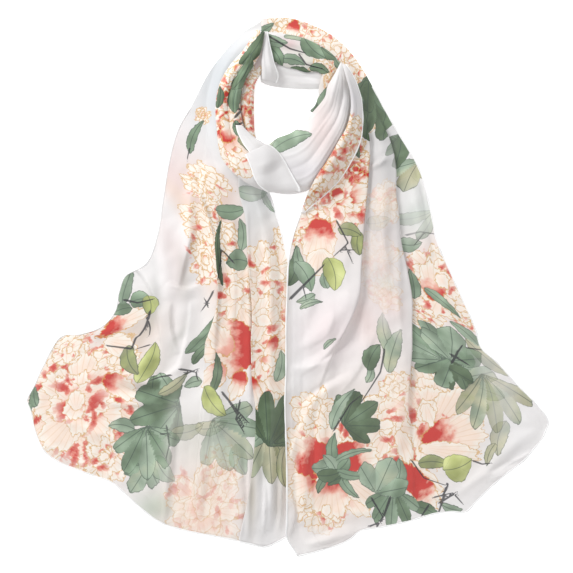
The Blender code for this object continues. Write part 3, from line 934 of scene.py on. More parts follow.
@dataclass(frozen=True)
class TableTop:
    """A white acrylic light table: matte, and lit from below, so it shows no shadow."""

    name: str = "white_table"
    colour: str = "#FFFFFF"
    glow: float = 0.55
    specular: float = 0.1
    roughness: tuple = (0.85, 0.95)
    mottles_per_metre: float = 8.0

    def material(self) -> bpy.types.Material:
        """Makes the material, with a faint mottle in its roughness."""
        made = bpy.data.materials.new(self.name)
        made.use_nodes = True
        tree = made.node_tree
        shader = tree.nodes["Principled BSDF"]
        shader.inputs["Base Color"].default_value = (*linear(self.colour), 1.0)
        shader.inputs["Emission Color"].default_value = (1.0, 1.0, 1.0, 1.0)
        shader.inputs["Emission Strength"].default_value = self.glow
        place = add(tree, "ShaderNodeTexCoord", {}, 3)
        mottle = add(tree, NOISE, {"Vector": place, "Scale": self.mottles_per_metre})
        low, high = self.roughness
        rough = add(tree, RANGE, {"Value": mottle, "To Min": low, "To Max": high})
        tree.links.new(rough, shader.inputs["Roughness"])
        shader.inputs["Specular IOR Level"].default_value = self.specular
        return made


class Finish(Enum):
    """The scarf's finishes, each by its name."""

    PRINTED = "printed_chiffon"
    PLAIN = "plain_chiffon"

    def cloth(self) -> Chiffon:
        """The cloth that has this finish."""
        return Chiffon(f"crepe_{self.value}", printed=self is Finish.PRINTED)


# ------ sheets


@dataclass
class Sheet:
    """A grid of cloth, with its print and the sizes that it was cut to."""

    node: str
    points: Array
    flat: Array
    panel: Array
    cloth: Array
    rests_on: tuple = ("hidden_roll",)

    def __post_init__(self) -> None:
        """Makes a bare print on the sheet's points."""
        self.print = Print(
            to_paper(self.points[..., :2].reshape(-1, 2)),
            to_paper(self.flat.reshape(-1, 2)),
            self.panel.ravel(),
        )

    def piece(self, name: str, columns: slice, finish: "Finish", hems: list) -> Object:
        """Makes a piece of cloth from some of the sheet's columns.

        Args:
            name: the piece's name.
            columns: which columns of the grid.
            finish: its finish.
            hems: the hems on its edges; not used.

        Returns:
            The piece, which stands for the sheet's node.
        """
        points = self.points[:, columns]
        number = np.arange(self.panel.size).reshape(self.panel.shape)
        mesh = grid_mesh(name, points, self.cloth[:, columns])
        if finish is Finish.PRINTED:
            self.print.part(number[:, columns].ravel()).store(mesh)
        made = place(name, self.node, mesh, finish)
        shell = made.modifiers.new("Chiffon", "SOLIDIFY")
        shell.thickness = CHIFFON
        shell.offset = 0.0
        return made


def quads(number: Array) -> Array:
    """The quads between neighbours on a grid of point numbers."""
    corners = [number[:-1, :-1], number[:-1, 1:], number[1:, 1:], number[1:, :-1]]
    return np.stack(corners, axis=-1).reshape(-1, 4)


def surface(name: str, points: Array, faces: "Array | list", cloth: Array) -> Mesh:
    """A mesh of points and faces.

    Args:
        name: the mesh's name.
        points: a row for each point.
        faces: the point numbers of each face.
        cloth: each point's place on the cut cloth in metres, for the weave.

    Returns:
        The mesh, shaded smooth, with its UV map "cloth".
    """
    mesh = bpy.data.meshes.new(name)
    mesh.from_pydata(points, [], faces)
    mesh.validate()
    corners = np.zeros(len(mesh.loops), int)
    mesh.loops.foreach_get("vertex_index", corners)
    layer = mesh.uv_layers.new(name="cloth")
    layer.data.foreach_set("uv", cloth[corners].astype(np.float32).ravel())
    mesh.shade_smooth()
    return mesh


def grid_mesh(name: str, points: Array, cloth: Array) -> Mesh:
    """A mesh of quads on a grid of points, facing up, as surface makes it."""
    flat = points.reshape(-1, 3)
    faces = quads(np.arange(len(flat)).reshape(points.shape[:2]))
    a, b, d = flat[faces[:, 0]], flat[faces[:, 1]], flat[faces[:, 3]]
    if np.cross(b - a, d - a)[:, 2].sum() < 0:
        faces = faces[:, ::-1]
    return surface(name, flat, faces, cloth.reshape(-1, 2))


def facing_out(points: Array, faces: Array) -> Array:
    """Quads of a closed surface, turned so that they face outwards."""
    a, b, c = (points[faces[:, k]] for k in range(3))
    d = points[faces[:, 3]]
    volume = np.einsum("ij,ij->", a, np.cross(b, c)) + np.einsum("ij,ij->", a, np.cross(c, d))
    return faces if volume > 0 else faces[:, ::-1]


def travelled(path: Array) -> Array:
    """How far along a path each of its points is."""
    steps = np.linalg.norm(np.diff(path, axis=0), axis=1)
    return np.concatenate([[0], np.cumsum(steps)])


def link(name: str, data: bpy.types.ID) -> Object:
    """Puts an object with the given data into the scene."""
    made = bpy.data.objects.new(name, data)
    bpy.context.scene.collection.objects.link(made)
    return made


def place(
    name: str, node: str, mesh: Mesh, finish: Finish, cloth: "Chiffon | None" = None
) -> Object:
    """Puts a mesh into the scene at the origin, as a piece that stands for a node.

    Args:
        name: the piece's name.
        node: the node that it stands for.
        mesh: its mesh.
        finish: its finish.
        cloth: its cloth, where that isn't the finish's own.

    Returns:
        The piece.
    """
    mesh.materials.append((cloth or finish.cloth()).material())
    made = link(name, mesh)
    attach(made, "root")
    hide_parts(node)
    return made


@dataclass
class Tail:
    """One end of the scarf, in three panels with a knife pleat between each two."""

    node: str
    rows: list
    hem: list
    creases: list
    # Rows of the table and the wished spacing there in millimetres, the columns of the
    # grid in each run between pleats, and the first section with a hem at its ends.
    spacing: tuple
    runs: tuple
    hemmed_from: int

    PLEAT_STATE = np.array(
        [
            # open, turn in degrees, bend radius
            (0.0, 180.0, 0.0013),
            (0.5, 96.0, 0.0016),
            (0.8, 45.0, 0.0030),
            (1.0, 12.0, 0.0050),
        ]
    )
    # The columns of the table where each pleat's place, lap and openness start.
    PLEAT_COLUMNS = (5, 8)
    LEAST_LAP = 1.0
    BEND_STEPS, LAP_STEPS = 5, 6
    # The cloth rises to a pleat up to this far from it, and the inner panel from this
    # share of its width.
    RISE_MARGIN = 2 * MM
    RISE_FROM = 0.25
    HEM_READINGS = 200
    # Below this place along Y the tail lies free, so it undulates: mean length, height
    # and seed of each undulation. It is lifted a little, and no trough goes below that.
    FREE_BELOW, FREE_OVER = 0.19, 0.06
    UNDULATIONS = ((60 * MM, 1.7 * MM, 5), (22 * MM, 0.6 * MM, 9))
    LIFT, SOFTNESS = 0.7 * MM, 0.5 * MM
    # How far a panel reaches round the bend of a pleat, in columns.
    ROUND_BEND = 3

    def _pleat(self, edge: Array, lap: Array, openness: Array) -> Array:
        """One knife pleat for every section: turn down, run back under, turn forward.

        Args:
            edge: where the folded edge lies on each section, in metres.
            lap: how far each fold runs back under itself, in metres.
            openness: from 0, pressed shut, to 1, combed out.

        Returns:
            The points across and up, by section.
        """
        state = self.PLEAT_STATE
        turn = np.radians(np.interp(openness, state[:, 0], state[:, 1]))[:, None]
        bend = np.interp(openness, state[:, 0], state[:, 2])[:, None]
        lap, edge = lap[:, None], edge[:, None]
        drop = 2 * bend * (1 - np.cos(turn)) + lap * np.sin(turn)
        angle = turn * np.linspace(0, 1, self.BEND_STEPS + 1)
        upper = np.stack([bend * np.sin(angle), drop - bend + bend * np.cos(angle)], axis=-1)
        share = lap * np.linspace(0, 1, self.LAP_STEPS + 1)[1:]
        way = np.stack([np.cos(turn), -np.sin(turn)], axis=-1)
        back = upper[:, -1:] + share[..., None] * way
        centre = back[:, -1:] + bend[..., None] * np.stack([np.sin(turn), np.cos(turn)], -1)
        falling = angle[:, -2::-1]
        curl = np.stack([np.sin(falling), np.cos(falling)], axis=-1)
        lower = centre - bend[..., None] * curl
        points = np.concatenate([upper, back, lower], axis=1)
        points[..., 0] += edge - bend * np.sin(np.minimum(turn, math.pi / 2))
        return points

    def _run(self, start: Array, stop: Array, high: Array, rise: tuple, count: int) -> Array:
        """A run between two pleats, which rises smoothly to the pleat's top."""
        across = start[:, None] + (stop - start)[:, None] * np.linspace(0, 1, count)
        span = np.maximum(rise[1] - rise[0], MM)[:, None]
        up = high[:, None] * smooth_step((across - rise[0][:, None]) / span)
        return np.stack([across, up], axis=-1)

    def sheet(self, pile: Pile) -> Sheet:
        """The tail's surface: a folded section carried from the neck to the hem.

        Each section starts at the inner edge and runs out to the outer edge. Its points
        lie on the heap, raised by the pleats, the creases and a slow undulation.

        Args:
            pile: what the tail lies on.

        Returns:
            The sheet.
        """
        spacing = np.interp(np.arange(len(self.rows)), *self.spacing) * MM
        table = spline(self.rows, even_places(self.rows, spacing))
        start, stop = to_plan(table[:, 0:2]), to_plan(table[:, 2:4])
        length = np.hypot(*(stop - start).T)
        way = (stop - start) / length[:, None]
        past = np.stack([way[:, 1], -way[:, 0]], axis=1) * np.sign(way[:, :1])
        pleats = [
            self._pleat(
                table[:, k] * SQUARE,
                np.maximum(table[:, k + 1], self.LEAST_LAP) * MM,
                np.clip(table[:, k + 2], 0, 1),
            )
            for k in self.PLEAT_COLUMNS
        ]
        first, second = pleats
        behind = [p[..., 0].min(axis=1) - self.RISE_MARGIN for p in pleats]
        front = first[..., 0].max(axis=1) + self.RISE_MARGIN
        zero = np.zeros(len(table))
        rise = (self.RISE_FROM * behind[0], behind[0])
        inner = self._run(zero, first[:, 0, 0], first[:, 0, 1], rise, self.runs[0] + 1)
        rise, high = (front, behind[1]), second[:, 0, 1]
        middle = self._run(first[:, -1, 0], second[:, 0, 0], high, rise, self.runs[1] + 2)
        outer = self._run(second[:, -1, 0], length, zero, (zero, zero + 1), self.runs[2] + 1)
        parts = [inner[:, :-1], first, middle[:, 1:-1], second, outer[:, 1:]]
        section = np.concatenate(parts, axis=1)
        step = np.hypot(*np.diff(section, axis=1).transpose(2, 0, 1))
        unrolled = np.concatenate([zero[:, None], np.cumsum(step, axis=1)], axis=1)
        share = np.clip(section[..., 0] / length[:, None], 0, 1)
        outline = spline(self.hem, np.linspace(0, len(self.hem) - 1, self.HEM_READINGS))
        bow = np.interp(share, outline[:, 0], outline[:, 1]) * SQUARE
        bow = bow * np.maximum(table[:, 4:5], 0)
        moved = start[:, None] + bow[..., None] * past[:, None]
        plan = moved + section[..., :1] * way[:, None]
        flat = moved + unrolled[..., None] * way[:, None]
        x, y = plan[..., 0], plan[..., 1]
        up = pile.rest(x, y) + section[..., 1]
        free = smooth_step((self.FREE_BELOW - y) / self.FREE_OVER)
        relief = crease_height(self.creases, x, y)
        for wave, high, seed in self.UNDULATIONS:
            relief += free * undulation(x, y, wave, high, seed)
        relief += free * self.LIFT
        up = up + 0.5 * (relief + np.sqrt(relief**2 + self.SOFTNESS**2))
        travel = travelled(0.5 * (start + stop))
        cloth = np.stack([unrolled, np.broadcast_to(travel[:, None], x.shape) + bow], axis=-1)
        bends = first.shape[1]
        one = self.runs[0]
        two = one + bends + self.runs[1]
        bend = self.ROUND_BEND
        panel = np.full(x.shape, -1)
        panel[:, : one + bend] = Panel.INNER.value
        panel[:, one + bends - bend : two + bend] = Panel.MIDDLE.value
        panel[:, two + bends - bend :] = Panel.OUTER.value
        middle_of_lap = self.BEND_STEPS + self.LAP_STEPS // 2
        self.splits = (one + middle_of_lap, two + middle_of_lap)
        return Sheet(self.node, np.dstack([plan, up]), flat, panel, cloth)


@dataclass
class Stretch:
    """A plain stretch of the winding, with a rounded back and ridges along it."""

    node: str
    rows: list
    ridges: list
    spacing: float
    columns: int
    lowest: float = 0.0

    # The power of the back's curve, how much closer the columns are towards the edges,
    # and the mean length in metres and the height in millimetres of its undulation. The
    # undulation's seed is the number of letters in the node's name.
    BACK_POWER = 4
    CROWDING = 0.25
    UNDULATION = (14 * MM, 0.35)

    def sheet(self, pile: Pile) -> Sheet:
        """The stretch's surface, from one edge across to the other.

        Its height is the heap's, plus back * (1 - |2s - 1|^4) for the share s across,
        plus a bell for each ridge that rises and falls along the stretch.

        Args:
            pile: what the stretch lies on.

        Returns:
            The sheet.
        """
        places = even_places(self.rows, np.full(len(self.rows), self.spacing))
        table = spline(self.rows, places)
        lean = np.cos(np.linspace(0, math.pi, self.columns))
        share = 0.5 - 0.5 * lean * (1 - self.CROWDING + self.CROWDING * np.abs(lean))
        start, stop = to_plan(table[:, 0:2]), to_plan(table[:, 2:4])
        plan = start[:, None] + (stop - start)[:, None] * share[None, :, None]
        along = (places / places[-1])[:, None]
        back = 1 - np.abs(2 * share - 1) ** self.BACK_POWER
        up = table[:, 4:5] * back
        for centre, half, high, first, top, last in self.ridges:
            rise = smooth_step((along - first) / (top - first))
            fall = smooth_step((last - along) / (last - top))
            bell = np.exp(-(((share - centre) / half) ** 2))
            up = up + high * rise * fall * bell * np.sqrt(back)
        x, y = plan[..., 0], plan[..., 1]
        up = up + undulation(x, y, *self.UNDULATION, len(self.node)) * back
        height = np.maximum(pile.rest(x, y), self.lowest) + up * MM
        points = pile.settle(np.dstack([plan, height]))
        u, v = np.zeros(x.shape), np.zeros((len(x), 1))
        u[:, 1:] = np.linalg.norm(np.diff(points, axis=1), axis=2).cumsum(axis=1)
        v[1:, 0] = np.linalg.norm(np.diff(points, axis=0), axis=2).mean(axis=1).cumsum()
        cloth = np.stack([u, np.broadcast_to(v, u.shape)], axis=-1)
        return Sheet(self.node, points, plan, np.zeros(x.shape, int), cloth)


@dataclass
class Roll:
    """The layers hidden inside the loop: a ring with lips where the layers end."""

    rows: list
    sections: int = 220
    points_round: int = 61
    lips: int = 5
    lip: float = 0.35
    side_power: float = 0.45
    top_power: float = 0.8
    # The cloth's width and length round the roll, in metres, for the weave.
    cloth: tuple = (0.05, 0.5)

    def build(self) -> Array:
        """Makes the ring: a lipped half-round profile carried round a closed curve.

        Returns:
            Its top as a grid of points for the pile.
        """
        rows = self.rows
        ring = np.array(rows[-1:] + rows + rows[:2], float)
        table = spline(ring, 1 + np.arange(self.sections) * len(rows) / self.sections)
        middle = to_plan(table[:, :2])
        ahead = np.roll(middle, -1, axis=0) - np.roll(middle, 1, axis=0)
        ahead /= np.linalg.norm(ahead, axis=1)[:, None]
        side = np.column_stack([ahead[:, 1], -ahead[:, 0]])
        angle = np.linspace(0, math.pi, self.points_round)
        lips = self.lip * MM * np.abs(np.sin(self.lips * 2 * angle)) * np.abs(np.cos(angle))
        out = np.sign(np.cos(angle)) * np.abs(np.cos(angle)) ** self.side_power
        high = np.sin(angle) ** self.top_power
        wide, tall = table[:, 2:3] * SQUARE, table[:, 3:4] * MM
        reach = (wide - self.lip * MM) * out + lips * np.sign(out)
        xy = middle[:, None] + side[:, None] * reach[..., None]
        points = np.dstack([xy, tall * high])
        count = self.points_round
        number = np.arange(self.sections * count).reshape(self.sections, count)
        faces = quads(np.pad(number, ((0, 1), (0, 1)), mode="wrap"))
        flat = points.reshape(-1, 3)
        across = np.linspace(0, self.cloth[0], count)
        along = np.linspace(0, self.cloth[1], self.sections)
        cloth = np.column_stack([np.tile(across, self.sections), np.repeat(along, count)])
        mesh = surface("hidden_layers", flat, facing_out(flat, faces), cloth)
        place("hidden_layers", "hidden_roll", mesh, Finish.PLAIN)
        top = np.concatenate([points, points[:1]])
        top[..., 2] -= WALL / 2
        return top


@dataclass
class Hem:
    """A narrow rolled hem: a soft tube carried along a sheet's edge."""

    name: str
    node: str
    path: Array
    radius: float = 0.9 * MM
    sides: int = 8
    flatness: float = 0.75
    # How much it swells and thins, and over what length in metres.
    swells: tuple = ((0.14, 3.1 * MM), (0.10, 7.3 * MM))

    def build(self) -> Object:
        """Makes the tube, a little flat and uneven as a hand-rolled hem is.

        Its section at each point of the path is an ellipse across the path.

        Returns:
            The piece.
        """
        path = self.path.copy()
        path[:, 2] = np.maximum(path[:, 2], self.radius)
        ahead = np.gradient(path, axis=0)
        ahead /= np.linalg.norm(ahead, axis=1)[:, None] + TINY
        side = np.cross(ahead, (0.0, 0.0, 1.0))
        side /= np.linalg.norm(side, axis=1)[:, None] + TINY
        up = np.cross(side, ahead)
        travel = travelled(path)
        (much, over), (more, further) = self.swells
        swell = 1 + much * np.sin(travel / over) + more * np.sin(travel / further)
        angle = np.arange(self.sides) * math.tau / self.sides
        radius = (self.radius * swell)[:, None, None]
        ring = (
            path[:, None]
            + radius * np.cos(angle)[None, :, None] * side[:, None]
            + self.flatness * radius * np.sin(angle)[None, :, None] * up[:, None]
        )
        number = np.arange(len(path) * self.sides).reshape(len(path), self.sides)
        flat = ring.reshape(-1, 3)
        faces = facing_out(flat, quads(np.pad(number, ((0, 0), (0, 1)), mode="wrap")))
        ends = [number[0].tolist(), number[-1, ::-1].tolist()]
        around, along = np.tile(angle * self.radius, len(path)), np.repeat(travel, self.sides)
        cloth = np.column_stack([around, along])
        mesh = surface(self.name, flat, faces.tolist() + ends, cloth)
        return place(self.name, self.node, mesh, Finish.PLAIN, RolledHem())


def by_panel(rows: Sequence) -> Iterator:
    """The rows of a table, each with the panel that is named above it."""
    panel = Panel.ANY
    for row in rows:
        if isinstance(row, Panel):
            panel = row
        else:
            yield panel, row


@dataclass
class Motifs:
    """What is printed on one sheet."""

    flowers: Sequence = ()
    petals: Sequence = ()
    leaves: Sequence = ()
    twigs: Sequence = ()
    # Soft patches of colour over the ground: coloured print, and in the tails painted shade of
    # folds.
    tints_and_shade: Sequence = ()
    veils: Sequence = ()
    seed: int = 11

    # Steps between the seeds of flowers, and where those of single petals start.
    FLOWER_SEED, PETAL_SEED = 7, 900

    def paint(self, sheet: Sheet) -> None:
        """Paints the motifs on a sheet.

        Args:
            sheet: the sheet, whose print is bare before.
        """
        cloth = sheet.print
        flowers, leaves = list(by_panel(self.flowers)), list(by_panel(self.leaves))
        for panel, (*patch, colour, amount) in by_panel(self.tints_and_shade):
            cloth.tint_and_shade(panel, patch, colour, amount)
        for k, (panel, row) in enumerate(flowers):
            cloth.flower(panel, row, self.seed + self.FLOWER_SEED * k)
        for k, (panel, (layer, *place, turn, long, wide, red)) in enumerate(by_panel(self.petals)):
            middle, way = cloth.spot(panel, *place), math.radians(turn)
            own = self.seed + self.PETAL_SEED + k
            cloth.petal(Print.PETAL_LAYERS[layer], middle, way, (long, wide), red, own)
        for panel, row in leaves:
            cloth.leaf(panel, row)
        for panel, (width, places) in by_panel(self.twigs):
            cloth.twig(panel, width, places)
        for panel, (*patch, amount) in by_panel(self.veils):
            cloth.veil(panel, patch, amount)
        LOG.info("%s: %d flowers, %d leaves", sheet.node, len(flowers), len(leaves))


# ------ the winding's tables

# A tail: a row for each section, from the neck to the hem, in squares from the paper's
# mark with y upwards. The inner edge is beside the other tail. bow is the share of the
# hem's outline that the section takes. near and far are the two knife pleats: the place
# of the folded edge on the section (squares from the inner edge), its lap in
# millimetres and how far it is combed open.
RIGHT_TAIL = [
    # inner x, y, outer x, y, bow, near edge, lap, open, far edge, lap, open
    (-26, 246, -27, 267, 0, 7, 2, 1, 14, 2, 1),
    (-13, 248, -13, 268.5, 0, 7, 2, 1, 14, 2, 1),
    (2, 246, 0, 268.5, 0, 7, 2, 1, 15, 2, 1),
    (16, 243, 15, 265, 0, 7, 2, 1, 15, 2, 1),
    (30, 236, 32, 258, 0, 7, 2, 1, 15, 2, 1),
    (40, 226, 47, 249, 0, 8, 2, 1, 17, 2, 1),
    (47, 214, 61, 236, 0, 9, 2, 1, 18, 2, 1),
    (52, 198, 73, 220, 0, 11, 2, 1, 21, 2, 1),
    (53, 179, 85, 199, 0, 15, 2, 1, 28, 2, 1),
    (50, 161, 99, 173, 0, 27, 2, 0.8, 41, 2, 0.8),
    (44, 139, 116, 144, 0, 38, 6, 0, 59, 5, 0),
    (34, 116, 131, 118, 0, 47, 11, 0, 74, 11, 0),
    (21, 94, 139, 92, 0, 58, 14, 0, 87, 13, 0),
    (13, 73, 144, 70, 0, 64, 15, 0, 98, 15, 0),
    (4, 46, 149, 45, 0, 71, 15, 0, 109, 16, 0),
    (0, 18, 161, 17, 0, 73, 14, 0, 119, 16, 0),
    (-1, -12, 174, -12, 0, 72, 10, 0, 125, 14, 0),
    (-2, -40, 187, -41, 0, 61, 3, 0.1, 126, 9, 0),
    (-2, -62, 193, -61, 0, 50, 2, 0.6, 126, 6, 0),
    (-2, -85, 209, -76, 0, 40, 2, 0.8, 125, 3, 0),
    (-3, -117, 230, -99, 0.1, 30, 3, 1, 124, 2, 0.6),
    (-2, -152, 246, -115, 0.25, 26, 3, 1, 124, 3, 0.9),
    (-1, -192, 256, -127, 0.5, 25, 3, 1, 126, 3, 1),
    (-1, -233, 260, -134, 0.75, 25, 3, 1, 128, 3, 1),
    (-1, -251, 260, -138, 0.9, 25, 3, 1, 129, 3, 1),
    (10, -269.5, 260, -138.5, 1, 25, 3, 1, 130, 3, 1),
]
RIGHT_HEM = [
    # share of the section from the inner edge, distance past the chord in squares
    (0, 0), (0.06, 4), (0.13, 8), (0.19, 9), (0.24, 6.5), (0.31, 13), (0.4, 20), (0.49, 25),
    (0.55, 31), (0.6, 38.5), (0.65, 34), (0.72, 28), (0.79, 23.5), (0.86, 20.5), (0.92, 14),
    (0.96, 9), (1, 0),
]
LEFT_TAIL = [
    (-20, 246, -26, 266, 0, 6, 2, 1, 14, 2, 1),
    (-27, 228, -47, 252.5, 0, 9, 2, 1, 20, 2, 1),
    (-36, 210, -62, 236.5, 0, 10, 2, 1, 22, 2, 1),
    (-40, 192, -80, 212.5, 0, 12, 2, 1, 26, 2, 1),
    (-42, 172, -96, 181.5, 0, 15, 2, 1, 32, 2, 1),
    (-41, 152, -110, 156.5, 0, 14, 2, 1, 38, 2, 1),
    (-36, 128, -118.5, 126, 0, 14, 2, 0.8, 47, 2, 1),
    (-21, 98, -125, 86, 0, 28, 9, 0, 68, 3, 0.3),
    (-12, 73, -130, 53, 0, 31, 12, 0, 65, 9, 0),
    (-4, 43, -141, 24, 0, 37, 14, 0, 69, 12, 0),
    (1, 16, -162, 11, 0, 40, 14, 0, 72, 13, 0),
    (3, -8, -169, -6, 0, 40, 14, 0, 73, 13, 0),
    (4, -22, -173, -25, 0, 40, 14, 0, 76, 12, 0),
    (4, -36, -186, -40, 0, 40, 14, 0, 80, 10, 0),
    (4, -50, -207, -47.5, 0, 41, 14, 0, 84, 7, 0),
    (4, -64, -228, -51, 0, 41, 14, 0, 87, 4, 0),
    (3, -92, -245, -80, 0.08, 39, 14, 0, 87, 2, 0.5),
    (2, -122, -253, -98, 0.25, 34, 14, 0, 86, 3, 0.9),
    (2, -157, -259, -109, 0.5, 34, 14, 0, 88, 3, 1),
    (2, -200, -261, -114, 0.8, 37, 14, 0, 90, 3, 1),
    (-1, -250, -261, -115, 1, 41, 13, 0, 94, 3, 1),
]
LEFT_HEM = [
    (0, 0), (0.02, 9), (0.05, 19), (0.1, 23), (0.2, 31), (0.32, 41.5), (0.41, 45.5), (0.5, 41),
    (0.57, 35.5), (0.62, 32.5), (0.69, 35), (0.78, 38.5), (0.83, 38.5), (0.88, 34), (0.93, 22),
    (0.97, 8), (1, 0),
]

# A plain stretch: a row for each section, with x and y of its two edges (the upper, the
# outer or the left one first, and the strip's hem last) and the height of its rounded
# back over what it lies on, in millimetres.
BACK_BAND = [
    (-27, 252, -24, 232, 1), (-18, 253, -17, 225, 3), (-6, 252, -4, 219, 4.5),
    (6, 250, 8, 216, 5), (18, 246.5, 18, 213, 5), (30, 241, 28, 214, 4.5), (41, 234, 34, 210, 4),
    (49, 226, 39, 202, 3), (56, 218, 42, 194, 1),
]
LINING = [
    (-29, 230, -27, 204, 1), (-16, 229, -18, 200.5, 2.5), (-4, 227, -4, 198.5, 3.5),
    (10, 224, 10, 197.5, 4), (22, 221, 24, 197, 3.5), (33, 217, 35, 197.5, 2.5),
    (40, 212, 41, 199, 1),
]
INNER_LEFT = [
    (-27, 248, -23, 250, 0.8), (-31, 236, -24, 238, 1.2), (-36, 223, -24.5, 225, 1.5),
    (-42, 209, -27, 212, 1.8), (-45, 197, -32.5, 202, 2), (-47, 184, -34, 188, 2),
    (-46, 170, -34, 170, 2), (-42, 157, -33.5, 157, 1.8), (-36, 146, -32, 148, 1),
]
INNER_RIGHT = [
    (46, 214, 34, 210, 1), (44, 202, 31, 199, 1.5), (42, 190, 30, 190, 1.8),
    (38, 180, 27, 181, 1.8), (33, 171, 21, 175, 1),
]
DOG_EAR = [
    (-23.5, 253, -21, 253, 0.6), (-25, 240, -18, 238, 1.5), (-26, 226, -14, 222, 2.2),
    (-26, 213, -10, 210, 2.4), (-25.5, 205.5, -12, 203, 1.4),
]
DRAPE = [
    (-31, 255, -23, 252, 1.5), (-44, 236, -27, 233, 3.5), (-58, 220, -33, 221, 5),
    (-68, 202, -42, 206, 6), (-72, 181, -47.5, 185, 6), (-71, 158, -45, 162, 6),
    (-67, 131, -38, 147, 6), (-54, 113, -29, 141, 6), (-34, 99, -20, 141, 6.5),
    (-10, 93, -11, 148, 7), (10, 93, 3, 153.5, 7.5), (27, 101, 14, 162, 8), (44, 126, 24, 173, 8),
    (57, 151, 36, 187, 8), (63, 174, 39, 198, 7.5), (62, 194, 44, 207, 6.5),
    (58, 211, 48, 214, 4.5), (56, 221, 52, 222, 1.5),
]
SHOULDER_STRIP = [
    (54, 220, 57, 220, 1), (58, 206, 66, 206, 2), (62, 190, 72, 190, 2.2),
    (62, 174, 74, 174, 2.2), (58, 158, 74, 158, 2.2), (50, 144, 71, 142, 2.2),
    (39, 125, 62, 123, 2), (30, 112, 51, 106, 2), (22, 97, 36, 91, 1.6), (16, 83, 23, 80, 1.2),
    (13, 74, 15.5, 73, 0.8),
]
HOOK = [
    (-51, 160, -46, 160, 0.8), (-49, 152, -40, 154, 1.6), (-44, 142, -32, 147, 2),
    (-37, 132, -22, 141, 2), (-30, 122, -13, 132, 1),
]
TONGUE = [
    (-42, 131, -21, 141, 1.4), (-39, 125, -12, 135, 2.2), (-36, 117, -4, 125, 2.6),
    (-33, 108, 2, 114, 2.8), (-29, 101, 7, 105, 2.6), (-23, 96, 11, 98, 1.6),
    (-19, 93.5, 11.5, 94, 0.4),
]
# The roll of layers that are hidden inside the loop: its middle line in plan.
HIDDEN_ROLL = [
    # x, y, half width in squares, height in mm
    (2, 233, 15, 6), (32, 222, 14, 6), (49, 196, 13, 7), (48, 158, 14, 8), (22, 126, 18, 8.5),
    (-16, 120, 18, 8.5), (-46, 136, 15, 7.5), (-56, 168, 14, 6.5), (-50, 204, 13, 6),
    (-30, 229, 14, 6),
]

# Creases: three places on the paper along a bent line, half width in squares (two for a
# fold that leans) and height in millimetres. The first eight of each table are in the
# cloth's solid as well.
LEFT_CREASES = [
    # x0, y0, x1, y1, x2, y2, half width, height
    (196, 166.5, 184, 226.5, 192, 280.5, 6, 4.5), (160, 220.5, 166, 266.5, 170, 326.5, 7, 3.5),
    (188, 292.5, 172, 346.5, 182, 396.5, 8, 3.5), (64, 348.5, 98, 394.5, 138, 454.5, 10, 3.5),
    (266, 226.5, 274, 306.5, 268, 406.5, 4.5, 3.5), (270, 416.5, 274, 476.5, 268, 532.5, 4, 4.5),
    (254, 436.5, 258, 486.5, 256, 532.5, 3.5, 3.5), (218, 346.5, 222, 416.5, 214, 486.5, 7, 3),
    # the two soft dents of the shoulder
    (178, 372, 150, 402, 96, 384, 5, -2), (130, 318, 116, 330, 90, 338, 4, 1.4),
    # the long soft edge that runs down to the hem
    (173, 424, 167, 470, 164, 524, 2.4, 2.6), (180, 424, 176, 470, 174, 520, 4, -1.6),
    (196, 420, 190, 470, 196, 528, 4, 1.2), (214, 440, 222, 490, 216, 534, 4, -1.2),
    (232, 452, 238, 500, 232, 538, 3.5, 1.6),
    # the narrow folds at the inner hem
    (249, 446, 250, 490, 248, 538, 2.4, 3), (262, 430, 264, 480, 262, 536, 2, -2.2),
    (281, 446, 283, 490, 279, 530, 2.2, 3.2), (276, 460, 277, 500, 274, 534, 1.8, -2),
    (243, 420, 244, 470, 241, 530, 2.2, -1.6), (282, 250, 286, 310, 284, 390, 3, 1.6),
    (258, 230, 260, 300, 256, 400, 3, -1.5), (240, 260, 242, 320, 238, 380, 3, 1.2),
    (226, 210, 228, 280, 226, 360, 3.6, -1.5),
    # folds that lean: half widths on the left and on the right of the line, height
    (216, 196, 222, 300, 210, 384, 2.2, 9, 4.4), (194, 184, 216, 216, 219, 296, 1.8, 8, 3.8),
    (212, 384, 210, 440, 200, 520, 2.4, 9, 2.4), (247, 204, 250, 330, 250, 440, 2.2, 8, 3.4),
    (194, 226, 184, 258, 178, 290, 2.6, 10, 5), (168, 282, 184, 297, 200, 284, 2.4, 9, 3.6),
    (170, 302, 167, 328, 178, 354, 2.6, 9, 4.6), (192, 300, 190, 344, 176, 374, 9, 2.6, 3.6),
    (132, 264, 170, 296, 157, 374, 9, 2, 7), (184, 362, 140, 410, 92, 340, 9, 2.6, 6),
    (182, 376, 150, 420, 92, 396, 3.4, 9, 3), (66, 336, 92, 360, 98, 392, 5, 9, 2.2),
    (50, 412, 84, 428, 132, 446, 3.4, 8, 2.4), (42, 440, 76, 462, 116, 478, 3, 7, 1.8),
    (120, 470, 140, 490, 160, 512, 3, 8, 2), (177, 392, 172, 450, 165, 524, 2.6, 10, 3.2),
    (204, 420, 198, 470, 202, 530, 3, 8, 1.8), (240, 452, 246, 490, 240, 538, 2, 6, 4.2),
    (262, 470, 268, 500, 262, 538, 1.8, 5, 4.2), (280, 470, 284, 500, 280, 536, 2, 4, 2.6),
    (232, 208, 236, 280, 232, 360, 3, 7, 1.6), (272, 220, 280, 300, 276, 400, 3, 7, 2),
]
